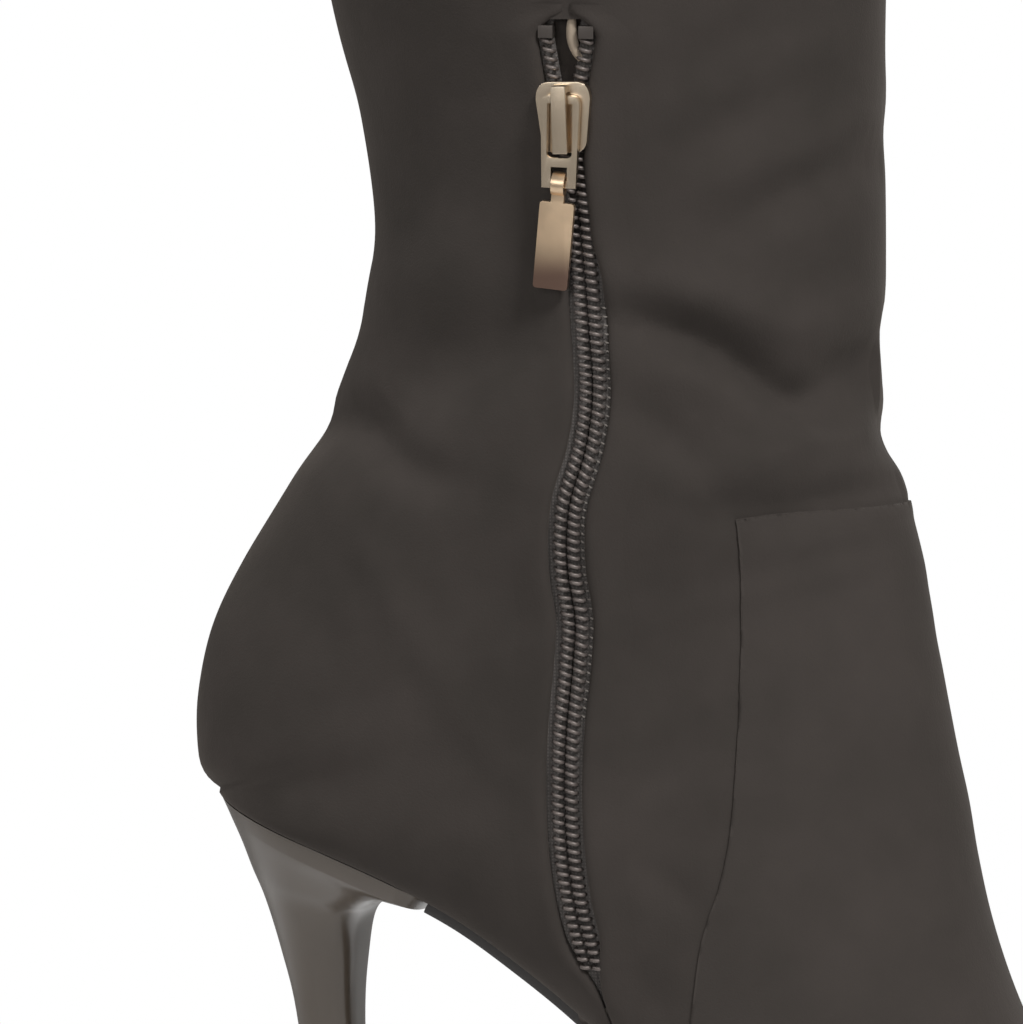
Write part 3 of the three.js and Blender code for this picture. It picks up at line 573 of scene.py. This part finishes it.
def fold_heights(x, z, folds):
    """Sum of soft troughs and ridges over points of the side view."""
    total = np.zeros(x.shape)
    for height, half_width, points in folds:
        _, line, _ = smooth_line(np.array(points) * MM, 40)
        gaps = (x[..., None] - line[:, 0]) ** 2 + (z[..., None] - line[:, 1]) ** 2
        nearest = gaps.argmin(-1)
        end = np.sin(math.pi * (0.08 + 0.84 * nearest / (len(line) - 1)))
        total += height * MM * end * np.exp(-gaps.min(-1) / (half_width * MM) ** 2)
    return total


def surface_relief(points):
    """How far the suede stands off the last shape, folds and seams together."""
    x, y, z = points[..., 0], points[..., 1], points[..., 2]
    relief = np.zeros(x.shape)
    near = (z > FOLDS_LOW) & (z < FOLDS_HIGH) & (x < FOLDS_AHEAD)
    for is_side, folds in ((y < 0, INNER_FOLDS), (y >= 0, OUTER_FOLDS)):
        chosen = near & is_side
        relief[chosen] += fold_heights(x[chosen], z[chosen], folds)
    fade = smoothstep(0, FADE_BY_MIDDLE, np.abs(y))
    back_or_front = (x < REAR_TURN) | (x > FRONT_TURN)
    relief = np.where(back_or_front, relief * (0.45 + 0.55 * fade), relief)
    wobble = (np.sin(x / 9e-3 + 2.1 * np.sin(z / 31e-3)) * np.sin(z / 23e-3 + 1.3 * x / 20e-3))
    relief += WOBBLE * wobble * smoothstep(WOBBLE_FROM, WOBBLE_TO, z)
    return relief


def around_turns(count):
    return np.linspace(0, 2 * math.pi, count)


def row_positions(spacing, start=0.0, leg_spacing=None):
    """Row positions whose sections lie about evenly apart, wider up the leg if told."""
    plain_leg_rows = 4
    positions = [start]
    for i in range(int(start), TOE_AT):
        q, r = SECTIONS[i], SECTIONS[i + 1]
        length = max(math.hypot(q[0] - r[0], q[1] - r[1]), math.hypot(q[2] - r[2], q[3] - r[3]))
        wanted = leg_spacing if leg_spacing and i < plain_leg_rows else spacing
        steps = max(2, math.ceil(length / wanted))
        first = max(start, i)
        positions += list(first + (i + 1 - first) * np.arange(1, steps + 1) / steps)
    return np.array(positions)


def seam_groove(distance, half_width, depth):
    return -depth * np.exp(-(distance / half_width) ** 2)


# Seams: the back seam, the seam above the zip and the hem's stitch line below the collar
BACK_SEAM_DEPTH, BACK_SEAM_TO = 0.45 * MM, 60 * MM
INNER_SEAM_X, INNER_SEAM_FROM, INNER_SEAM_DEPTH = 70.5 * MM, 233 * MM, 0.4 * MM
HEM, HEM_DEPTH = 14 * MM, 0.35 * MM
FOOT_SEAM_WIDTH, FOOT_SEAM_DEPTH = 1.0 * MM, 0.7 * MM  # from the slot's foot to the sole
COLLAR_Z = HEEL_HEIGHT + SHAFT_HEIGHT


def outer_grid(positions, turns):
    """The suede's face with its folds and seams, the plain last shape below, and its normals."""
    u, turn = np.meshgrid(positions, turns, indexing="ij")
    base = upper_point(u, turn)
    normal = grid_normals(base)
    relief = surface_relief(base)
    x, y, z = base[..., 0], base[..., 1], base[..., 2]
    is_back = (x < BACK_SEAM_TO) & (u <= SEAT_AT)
    relief += np.where(is_back, seam_groove(y, 0.7 * MM, BACK_SEAM_DEPTH), 0)
    inner_seam = seam_groove(x - INNER_SEAM_X, 0.8 * MM, INNER_SEAM_DEPTH) * (y < 0)
    relief += np.where(z > INNER_SEAM_FROM, inner_seam, 0)
    relief += seam_groove(COLLAR_Z - HEM - z, 0.7 * MM, HEM_DEPTH)
    foot = (u > SEAT_AT - 3) & (u < SEAT_AT + 12) & (y < 0)
    along, aside = zip_distance(x[foot], z[foot])
    below_slot = smoothstep(ZIP_LENGTH - 2 * MM, ZIP_LENGTH + 3 * MM, along)
    relief[foot] += seam_groove(aside, FOOT_SEAM_WIDTH, FOOT_SEAM_DEPTH) * below_slot
    return base + normal * relief[..., None], base, normal


EDGE_GROOVE, UNDER_VAMP_DROP = 0.22 * MM, 0.45 * MM


def under_vamp(points):
    """How far the suede drops at the vamp's edge and below it, so that the overlay lies proud."""
    x, z = points[..., 0], points[..., 2]
    seam_z, seam_x = level(VAMP_SEAM[::-1, 1]), VAMP_SEAM[::-1, 0] * SHOE_LENGTH
    low_x, low_z, high_x, high_z = SECTIONS[VAMP_AT, :4]
    length = math.hypot(high_x - low_x, high_z - low_z)
    below_top = ((high_z - low_z) * (x - low_x) - (high_x - low_x) * (z - low_z)) / length
    inset = np.minimum(x - np.interp(z, seam_z, seam_x), below_top)
    groove = EDGE_GROOVE * np.exp(-(inset / (0.9 * MM)) ** 2)
    return groove + UNDER_VAMP_DROP * smoothstep(0.5 * MM, 2.5 * MM, inset)


def build_upper():
    """The suede outside, its margin turned in under the foot, and the lining inside."""
    positions = row_positions(1.45 * MM, leg_spacing=3.2 * MM)
    turns = around_turns(225)
    skin, base, normal = outer_grid(positions, turns)
    centre = (base[:-1, :-1] + base[1:, 1:]) / 2
    along, aside = zip_distance(centre[..., 0], centre[..., 2])
    in_slot = ((np.abs(aside) < slot_half(along) + 1.5 * MM) & (centre[..., 1] < 0)
               & (along > 2.5 * MM) & (along < ZIP_LENGTH))
    faces = grid_faces(len(positions), len(turns), keep=~in_slot)
    outer = mesh_object("upper_suede", skin - normal * under_vamp(base)[..., None], faces, SUEDE)
    place(outer, "suede", "upper")

    lasted = np.linspace(SEAT_AT + 0.05, TOE_AT - 0.4, 150)
    middle = section_at(lasted)["swing"]
    for name, turn in (("inner", 0.0), ("outer", 2 * math.pi)):
        edge = upper_point(lasted, np.full(lasted.shape, turn))
        rows = [edge + np.outer(share * (middle - edge[:, 1]), (0, 1, 0)) for share in (0, 0.5, 1)]
        margin = sheet(f"lasted_margin_{name}", np.stack(rows, 1), SUEDE)
        place(margin, "suede")

    positions = row_positions(3.5 * MM, leg_spacing=8 * MM)
    turns = around_turns(97)
    u, turn = np.meshgrid(positions, turns, indexing="ij")
    base = upper_point(u, turn)
    relief = surface_relief(base)
    inside = base + grid_normals(base) * (relief - WALL * 0.9)[..., None]
    centre = (base[:-1, :-1] + base[1:, 1:]) / 2
    along, aside = zip_distance(centre[..., 0], centre[..., 2])
    in_slot = ((np.abs(aside) < slot_half(along) + 3 * MM) & (centre[..., 1] < 0)
               & (along > -5 * MM) & (along < ZIP_LENGTH + 4 * MM))
    faces = grid_faces(len(positions), len(turns), keep=~in_slot)[:, ::-1]
    lining = mesh_object("upper_lining", inside, faces, LINING)
    place(lining, "lining")


def build_collar():
    """The rolled top edge that joins the suede to the lining."""
    turns = around_turns(225)
    rolls = np.linspace(0, math.pi, 9)
    u = np.zeros(len(turns))
    ring = upper_point(u, turns)
    below = upper_point(u + 0.05, turns)
    normal = grid_normals(np.stack([ring, below]))[0]
    middle = ring - normal * WALL * 0.45
    roll_height = 0.7 * MM
    rows = [middle + normal * WALL * 0.45 * math.cos(a)
            + np.array([0, 0, roll_height * math.sin(a) - roll_height]) for a in rolls]
    rim = sheet("collar_edge", rows, SUEDE, flip=True)
    place(rim, "suede")


# Vamp: an overlay in front of a slanting seam

VAMP_SEAM = np.array([
    # x in shoe lengths, z as a level
    [0.412, 1.200], [0.412, 1.121], [0.409, 1.002], [0.402, 0.885], [0.389, 0.788],
    [0.383, 0.690], [0.365, 0.340], [0.330, -0.200],
])
VAMP_STEP = 0.9 * MM


def vamp_edge_turns(positions):
    """Where the rear seam crosses each section, as a turn from the inner feather edge."""
    seam_x, seam_z = VAMP_SEAM[:, 0] * SHOE_LENGTH, level(VAMP_SEAM[:, 1])
    _, line, _ = smooth_line(np.stack([seam_x, seam_z], 1), 200)
    turns = np.linspace(0, math.pi, 721)
    edges = []
    for u in positions:
        points = upper_point(np.full(turns.shape, u), turns)
        seam_at = np.interp(points[:, 2], line[::-1, 1], line[::-1, 0])
        ahead = points[:, 0] >= seam_at
        edges.append(turns[np.argmax(ahead)] if ahead.any() else math.pi)
    return np.array(edges)


def build_vamp():
    """The overlay: its face, and edges that run down under the suede's face."""
    positions = row_positions(1.6 * MM, start=VAMP_AT)
    edges = vamp_edge_turns(positions)
    edges[1:-1] = (edges[:-2] + 2 * edges[1:-1] + edges[2:]) / 4
    share = np.linspace(0, 1, 181)
    turn = edges[:, None] + share[None] * (2 * math.pi - 2 * edges[:, None])
    u = np.broadcast_to(positions[:, None], turn.shape)
    base = upper_point(u, turn)
    normal = grid_normals(base)
    relief = surface_relief(base)
    is_seam = (edges > 0.02)[:, None]  # ahead of the seam's end the vamp covers the whole width
    near_edge = np.minimum(share, 1 - share) * (2 * math.pi - 2 * edges[:, None])
    tucked = smoothstep(0.0, 0.5, np.minimum(turn, 2 * math.pi - turn))
    from_rear = near_edge * BALL_WIDTH / 2
    one_third = len(share) // 3
    from_top = np.hypot(*(base[:, one_third] - base[0, one_third])[:, [0, 2]].T)[:, None]
    inset = np.minimum(np.where(is_seam, from_rear, 1), from_top)
    lift = VAMP_STEP * (0.25 + 0.75 * smoothstep(0, 14 * MM, inset)) * tucked
    body = base + normal * (relief + lift)[..., None]
    under = base + normal * (relief - 0.3 * MM)[..., None]
    first = np.where(is_seam, under[:, 0], body[:, 0])
    last = np.where(is_seam, under[:, -1], body[:, -1])
    grid = np.concatenate([first[:, None], body, last[:, None]], 1)
    grid = np.concatenate([np.concatenate([under[:1, :1], under[:1], under[:1, -1:]], 1), grid])
    # the vamp's suede is painted a touch lighter, for the key light on it
    vamp = sheet("vamp_suede", grid, SUEDE_VAMP_PAINTED_LIGHT)
    place(vamp, "vamp_suede", "vamp")
    bevel_sharp(vamp, 0.3 * MM)


def bevel_sharp(obj, width):
    modifier = obj.modifiers.new("edge", "BEVEL")
    modifier.width = width
    modifier.segments = 3
    modifier.limit_method = "ANGLE"
    modifier.angle_limit = 0.6
    modifier.harden_normals = False


# Zip

def strip_along_zip(name, start, end, profile, material, flip=False):
    """A strip whose cross section is a list of (sideways, height) functions of the distance."""
    step = 1.2 * MM
    along = np.linspace(start, end, max(3, int((end - start) / step)))
    columns = [zip_point(along, aside(along), np.broadcast_to(height(along), along.shape))
               for aside, height in profile]
    return sheet(name, np.stack(columns, 1), material, flip)


def welt_profile(side):
    """Folded suede edge: flush with the upper outside, rolled over and down into the slot."""
    steps = [(6.4, -0.02), (5.2, 0.06), (4.2, 0.16), (3.2, 0.32), (2.3, 0.48), (1.5, 0.55),
             (0.9, 0.46), (0.4, 0.22), (0.1, -0.15), (0.0, -0.6), (0.05, -1.2), (0.3, -1.9)]
    return [(lambda d, a=a: side * (seen_half(d) + a * MM),
             lambda d, h=h: h * MM * (1 - 0.7 * smoothstep(ZIP_LENGTH - 9 * MM, ZIP_LENGTH, d)))
            for a, h in steps]


def relief_at(x, z):
    """The relief of the suede over points of the inner side view."""
    return surface_relief(np.stack([x, medial_y(x, z), z], -1))


def cover(along):
    """How far the left edge leans over the coil just below the slider."""
    begins, ends = smoothstep(21 * MM, 27 * MM, along), smoothstep(38 * MM, 46 * MM, along)
    return 2.0 * MM * begins * (1 - ends)


def build_welts():
    """The slot's two folded edges, which follow the suede's own folds."""
    right_edge_share = 0.55  # of the left edge's lean
    for name, side in SIDES:
        along = np.linspace(0.5 * MM, ZIP_LENGTH + 4.0 * MM, 260)
        grid = []
        for aside, height in welt_profile(side):
            lean = side * cover(along) * (1 if side < 0 else right_edge_share)
            x, z = beside_zip(along, aside(along) - lean)
            grid.append(over_medial(x, z, relief_at(x, z) + height(along)))
        welt = sheet(f"zip_welt_{name}", np.stack(grid, 1), SUEDE, flip=side < 0)
        place(welt, "suede")


def build_tapes():
    """The woven tapes, each with its inner edge turned down."""
    for name, side in SIDES:
        inner = (lambda d: side * np.where(d < ROWS_TO, np.maximum(0.1 * MM,
                 row_centre(d) - ROW_HALF), 0.1 * MM))
        outer = (lambda d: side * (slot_half(d) + 1.5 * MM))
        depth, low = (lambda d: -1.25 * MM + 0 * d), (lambda d: -2.2 * MM + 0 * d)
        profile = [(inner, low), (inner, depth), (lambda d: (inner(d) + outer(d)) / 2, depth),
                   (outer, depth)]
        tape = strip_along_zip(f"zip_tape_cloth_{name}", 1 * MM, ZIP_LENGTH + 1 * MM, profile,
                               TAPE, flip=side < 0)
        place(tape, "tape", f"zip_tape_{name}")


def tube_along(path, radius, sides):
    """Points and faces of a closed tube along a path."""
    tangent = unit(np.gradient(path, axis=0))
    helper = np.array([0.31, -0.9, 0.27])  # along no path of the zip
    first = unit(np.cross(tangent, helper))
    second = np.cross(tangent, first)
    angles = np.arange(sides) * 2 * math.pi / sides
    rings = path[:, None] + radius * (np.cos(angles)[None, :, None] * first[:, None]
                                      + np.sin(angles)[None, :, None] * second[:, None])
    return rings.reshape(-1, 3), capped_faces(len(path), sides)


def joined_tubes(name, paths, radius, material, sides=6):
    """One object of many closed tubes."""
    points, faces, count = [], [], 0
    for path in paths:
        ring, quads = tube_along(path, radius, sides)
        points.append(ring)
        faces += [[v + count for v in quad] for quad in quads]
        count += len(ring)
    obj = mesh_object(name, np.concatenate(points), faces, material)
    fix_normals(obj)
    return obj


def fix_normals(obj):
    work = bmesh.new()
    work.from_mesh(obj.data)
    bmesh.ops.recalc_face_normals(work, faces=work.faces)
    work.to_mesh(obj.data)
    work.free()


def tooth_path(along, side, inner, outer, lean):
    """One coil turn: up from the tape at its outer end, over, and down at the centre line."""
    shares = np.array([0.0, 0.10, 0.25, 0.55, 0.82, 1.0])
    aside = outer + (inner - outer) * shares
    height = np.array([-1.5, -0.55, -0.2, -0.12, -0.3, -1.0]) * MM
    drift = lean * (shares if side < 0 else 1 - shares)
    return zip_point(along + drift, side * aside, height)


def build_coil():
    """The closed chain's interlocked turns, and the two open rows above the slider."""
    pitches = np.arange(CHAIN_FROM, CHAIN_TO, PITCH)
    paths = []
    for along in pitches:
        paths.append(tooth_path(along, -1, 0.15 * MM, COIL_HALF, 0.45 * PITCH))
        paths.append(tooth_path(along + PITCH / 2, 1, 0.15 * MM, COIL_HALF, 0.45 * PITCH))
    coil = joined_tubes("zip_coil", paths, WIRE, COIL)
    place(coil, "coil", "zip_chain")
    for name, side in SIDES:
        paths = []
        for along in np.arange(ROWS_FROM, ROWS_TO, PITCH):
            centre = row_centre(along)
            paths.append(tooth_path(along, side, centre - ROW_HALF, centre + ROW_HALF,
                                    0.4 * PITCH))
        rows = joined_tubes(f"zip_row_{name}", paths, WIRE, COIL)
        place(rows, "coil", f"zip_teeth_{name}")


def beveled_copy(node, name, material, width):
    """A copy of a CAD solid with rounded edges, which stands for the node."""
    sharp = 0.5  # radians between faces
    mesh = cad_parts[node].data.copy()
    mesh.name = name
    work = bmesh.new()
    work.from_mesh(mesh)
    bmesh.ops.remove_doubles(work, verts=work.verts, dist=0.01 * MM)
    bmesh.ops.dissolve_limit(work, angle_limit=0.02, verts=work.verts, edges=work.edges)
    edges = [e for e in work.edges if len(e.link_faces) == 2 and e.calc_face_angle(0) > sharp]
    bmesh.ops.bevel(work, geom=edges, offset=width, segments=3, profile=0.6,
                    affect="EDGES", clamp_overlap=True)
    work.to_mesh(mesh)
    work.free()
    return shaded_object(name, mesh, material)


def build_tape_stitches():
    """The tape's edge stitches that show beside the coil, on its toe side."""
    paths = []
    for along in np.arange(50 * MM, 118 * MM, PITCH):
        middle = 2.75 * MM + 0.12 * MM * math.sin(along / (7 * MM))
        spots = np.array([-0.34, 0, 0.34]) * MM
        height = np.array([-0.75, -0.5, -0.75]) * MM
        paths.append(zip_point(along + 0.3 * spots, middle + spots, height))
    stitches = joined_tubes("tape_stitches", paths, 0.17 * MM, THREAD, 5)
    place(stitches, "tape")


# Side view points of the curl, in millimetres
LINING_STRIP = [(71.4, 233.4), (71.2, 231.2), (71.3, 229.2), (71.8, 227.4), (72.6, 226.0)]


def build_zip_guard():
    """The flap of suede behind the open rows."""
    depth = -2.7 * MM
    profile = [(lambda d, a=a: a * MM + 0 * d, lambda d: depth + 0 * d)
               for a in (-6.5, -3, 0, 3, 6.5)]
    guard = strip_along_zip("zip_guard", -2 * MM, SLIDER_AT + 8 * MM, profile, SUEDE)
    place(guard, "suede")


def build_lining_strip():
    """A curl of the pale lining between the open rows."""
    arc, line, down = smooth_line(np.array(LINING_STRIP) * MM, 24)
    width = 0.95 * MM * np.sin(math.pi * np.linspace(0.12, 0.9, len(arc))) ** 0.6
    columns = []
    for share, height in ((-1, -1.5), (-0.8, -0.9), (0, -0.6), (0.8, -0.9), (1, -1.5)):
        x, z = line[:, 0] - down[:, 1] * width * share, line[:, 1] + down[:, 0] * width * share
        columns.append(over_medial(x, z, height * MM + 0 * x))
    strip = sheet("lining_curl", np.stack(columns, 1), LINING)
    place(strip, "lining")


def build_slider():
    """The metal pieces, as rounded copies of their solids."""
    slider = beveled_copy("zip_slider", "slider_metal", NICKEL, 0.28 * MM)
    place(slider, "nickel", "zip_slider")
    pull = beveled_copy("pull_frame", "pull_frame_metal", NICKEL, 0.3 * MM)
    place(pull, "nickel", "pull_frame", body="pull_frame")
    tab = beveled_copy("pull_tab", "pull_tab_metal", TAB_METAL, 0.22 * MM)
    place(tab, "pull_metal", "pull_tab", body="pull_tab")
    for name in ("left", "right"):
        stop = beveled_copy(f"zip_stop_{name}", f"stop_metal_{name}", STOP_METAL, 0.3 * MM)
        place(stop, "coil", f"zip_stop_{name}")


# Heel, sole and insole

HEEL_RINGS = np.array([
    # back x, back z, front x, front z, width in heel widths, front squareness
    [0.0165, 1.000, 0.1825, 0.807, 0.690, 7],
    [0.0225, 0.966, 0.175, 0.807, 0.668, 7],
    [0.0315, 0.918, 0.1465, 0.818, 0.582, 5],
    [0.039, 0.869, 0.1285, 0.805, 0.484, 4.5],
    [0.048, 0.813, 0.1205, 0.783, 0.382, 4],
    [0.059, 0.722, 0.1175, 0.720, 0.275, 4],
    [0.069, 0.623, 0.1155, 0.623, 0.215, 4],
    [0.0775, 0.458, 0.118, 0.458, 0.167, 4],
    [0.0835, 0.212, 0.1215, 0.212, 0.146, 4],
    [0.086, 0, 0.124, 0, 0.143, 4],
])


def row_where_low(x):
    """The row position whose low point lies at x, behind to ahead."""
    low, high = np.full(np.shape(x), float(SEAT_AT)), np.full(np.shape(x), float(TOE_AT))
    for _ in range(30):
        mid = (low + high) / 2
        before = section_at(mid)["low_x"] < x
        low, high = np.where(before, mid, low), np.where(before, high, mid)
    return low


def heel_outline(ring, height_at):
    """One ring of the heel: round behind, squarer ahead, at heights from height_at."""
    count = 72
    back_x, _, front_x, _, width, square = ring
    middle, reach = (front_x + back_x) / 2 * SHOE_LENGTH, (front_x - back_x) / 2 * SHOE_LENGTH
    angle = np.arange(count) * 2 * math.pi / count
    c, s = np.cos(angle), np.sin(angle)
    power = 2 / np.where(c > 0, square, 2)
    x = middle + reach * np.sign(c) * np.abs(c) ** power
    y = width * HEEL_WIDTH / 2 * np.sign(s) * np.abs(s) ** power
    return np.stack([x, y, height_at((x - middle) / reach / 2 + 0.5, x)], 1)


def capped_loft(name, rings, material):
    """A closed solid through rings of points, with flat shaded corners."""
    rings = np.asarray(rings)
    obj = mesh_object(name, rings, capped_faces(*rings.shape[:2]), material)
    fix_normals(obj)
    obj.data.set_sharp_from_angle(angle=0.9)
    return obj


def build_heel():
    """The lacquered heel, shaped through its rings, and its rubber tip."""
    foot = LIFT + GAP
    rounding = 5  # the tip's edges grow or shrink by their millimetres over this

    def stem(share):
        return np.where(share < 1, foot + share * (HEEL_HEIGHT - foot), level(share))

    arc = np.concatenate([[0, 1], np.linspace(1, len(HEEL_RINGS) - 1, 57)[1:]])
    rings = []
    for at in arc:
        ring = between_rows(HEEL_RINGS, at)

        def height(share, x, ring=ring, at=at):
            leaning = stem(ring[1]) + (stem(ring[3]) - stem(ring[1])) * share
            seat = section_at(row_where_low(x))["low_z"] - GAP
            return seat if at == 0 else np.minimum(leaning, seat - 0.6 * MM * at)

        rings.append(heel_outline(ring, height))
    heel = capped_loft("heel_gloss", rings, LACQUER)
    place(heel, "heel_lacquer", "heel")
    tip = HEEL_RINGS[-1]
    rings = []
    for z, grow in ((0, -0.25), (0.35, 0), (LIFT / MM - 0.4, 0), (LIFT / MM, -0.15)):
        ring = heel_outline(tip, lambda share, x, z=z: z * MM + 0 * x)
        centre = ring.mean(0)
        outline = centre + (ring - centre) * (1 + grow / rounding)
        outline[:, 2] = z * MM
        rings.append(outline)
    lift = capped_loft("heel_tip_rubber", rings, RUBBER)
    place(lift, "lift_rubber", "heel_lift")


def plate_grid(positions, half, shape):
    """Cross sections of a plate under the foot; shape holds (share of half width, height)."""
    s = section_at(positions)
    step = 0.05
    before, after = (section_at(np.clip(positions + d, SEAT_AT, TOE_AT)) for d in (-step, step))
    run = unit(np.stack([after[k] - before[k] for k in ("low_x", "low_z")], 1))
    rows = []
    for k in range(len(positions)):
        share, height = shape(k)
        rows.append(np.stack([s["low_x"][k] - run[k, 1] * height,
                              s["swing"][k] + share * half[k],
                              s["low_z"][k] + run[k, 0] * height], 1))
    return np.array(rows)


def build_sole():
    """The outsole from the heel's lip to the toe, and the insole with its sock."""
    lip = HEEL_RINGS[0][2] * SHOE_LENGTH + 2 * GAP
    start = float(row_where_low(np.array(lip)))
    positions = np.concatenate([np.linspace(start, TOE_AT - 2, 150),
                                np.linspace(TOE_AT - 2, TOE_AT - 1, 20)[1:]])
    s = section_at(positions)
    ball = smoothstep(0.4, 0.6, s["low_x"] / SHOE_LENGTH)
    bottom = -GAP - (SHANK + (SOLE - SHANK) * ball)
    half = s["base"] * (0.95 + 0.11 * ball)

    def shape(k):
        low, top = bottom[k], -GAP
        drop = low - top
        rim = np.array([(1.0, top), (1.0, top + 0.45 * drop), (0.995, top + 0.7 * drop),
                        (0.98, top + 0.9 * drop), (0.95, low), (0.5, low), (0.0, low)])
        mirrored = rim[-2::-1] * (-1, 1)
        ring = np.concatenate([rim, mirrored])
        return ring[:, 0], ring[:, 1]

    sole = capped_loft("sole_leather", plate_grid(positions, half, shape), SOLE_SKIN)
    place(sole, "sole_rubber", "outsole")

    positions = np.linspace(SEAT_AT + 0.6, TOE_AT - 2, 140)
    s = section_at(positions)
    half = np.maximum(s["base"] - GAP - 0.6 * MM, 1 * MM)

    def sock(_):
        ring = np.array([(-1, 0.2), (-0.97, 1.6), (-0.6, 2.0), (0, 2.1), (0.6, 2.0), (0.97, 1.6),
                         (1, 0.2)])
        return ring[:, 0], ring[:, 1] * MM

    insole = capped_loft("insole_sock", plate_grid(positions, half, sock), LINING)
    place(insole, "lining", "insole")


# Stage, light and camera

FLOOR_RADIUS, FLOOR_FADE = 0.5, (0.22, 0.48)
ROOM_BEHIND, ROOM_AHEAD = 0.2, 0.34  # the room's light at the heel's side and at the toe's


def build_stage():
    """The pale floor, the soft room and the studio's lights."""
    paint = new_material("stage_white")
    set_values(paint.shader, Base_Color=(0.78, 0.78, 0.78, 1), Roughness=0.7)
    reach = paint.nodes.new("ShaderNodeVectorMath")
    reach.operation = "LENGTH"
    paint.join(paint.at, reach.inputs[0])
    # the floor melts into the white round it
    fade = map_range(paint.nodes, paint.join, reach.outputs["Value"],
                     From_Min=FLOOR_FADE[0], From_Max=FLOOR_FADE[1])
    clear = paint.nodes.new("ShaderNodeBsdfTransparent")
    mix_to(paint.nodes["Material Output"], paint.nodes, paint.join, fade, paint.shader, clear)
    bpy.ops.mesh.primitive_circle_add(vertices=96, radius=FLOOR_RADIUS, fill_type="NGON")
    floor = bpy.context.object
    floor.name = "stage_floor"
    floor.data.materials.append(paint.material)

    world = bpy.data.worlds.new("studio")
    bpy.context.scene.world = world
    world.use_nodes = True
    nodes, join = world.node_tree.nodes, world.node_tree.links.new
    studio = nodes["Background"]
    set_values(studio, Color=(1, 0.985, 0.965, 1))
    split = nodes.new("ShaderNodeSeparateXYZ")
    join(nodes.new("ShaderNodeTexCoord").outputs["Generated"], split.inputs["Vector"])
    strength = map_range(nodes, join, split.outputs["X"], "LINEAR", From_Min=-1,
                         To_Min=ROOM_BEHIND, To_Max=ROOM_AHEAD)
    join(strength, studio.inputs["Strength"])
    paper = nodes.new("ShaderNodeBackground")  # the white seen behind the boot
    set_values(paper, Color=(1, 1, 1, 1))
    seen = nodes.new("ShaderNodeLightPath").outputs["Is Camera Ray"]
    mix_to(nodes["World Output"], nodes, join, seen, studio, paper)

    for name, spot, size, power in (
            ("key", (0.85, -0.95, 1.4), 0.4, 28),
            ("front", (-0.3, -1.5, 0.55), 0.6, 6),
            ("back_left", (-1.15, -0.15, 1.05), 0.6, 7),
            ("far_side", (0.3, 1.5, 0.9), 0.9, 9)):
        light = bpy.data.lights.new(name, "AREA")
        light.size = size
        light.energy = power
        lamp = new_object(name, light)
        lamp.location = spot
        aim = Vector((0, 0, 0.15)) - Vector(spot)
        lamp.rotation_euler = aim.to_track_quat("-Z", "Y").to_euler()


AZIMUTH, ELEVATION, DISTANCE = math.radians(12), math.radians(2.5), 1.5
PHOTO_WIDTH = 0.1705  # what the photograph's width covers at the boot
TARGET = Vector((HEEL_BACK + 0.0529, 0, 0.1513))
SENSOR_WIDTH = 36  # millimetres


def build_camera():
    """The photograph's view."""
    lens = bpy.data.cameras.new("camera")
    lens.sensor_width = SENSOR_WIDTH
    lens.lens = SENSOR_WIDTH * DISTANCE / PHOTO_WIDTH
    camera = new_object("camera", lens)
    level_out = math.cos(ELEVATION)
    back = Vector((math.sin(AZIMUTH) * level_out, -math.cos(AZIMUTH) * level_out,
                   math.sin(ELEVATION)))
    camera.location = TARGET + back * DISTANCE
    camera.rotation_euler = (-back).to_track_quat("-Z", "Y").to_euler()
    bpy.context.scene.camera = camera
    bpy.context.scene.view_settings.view_transform = "Standard"


build_upper()
build_collar()
build_vamp()
build_welts()
build_tapes()
build_coil()
build_tape_stitches()
build_zip_guard()
build_lining_strip()
build_slider()
build_heel()
build_sole()
build_stage()
build_camera()
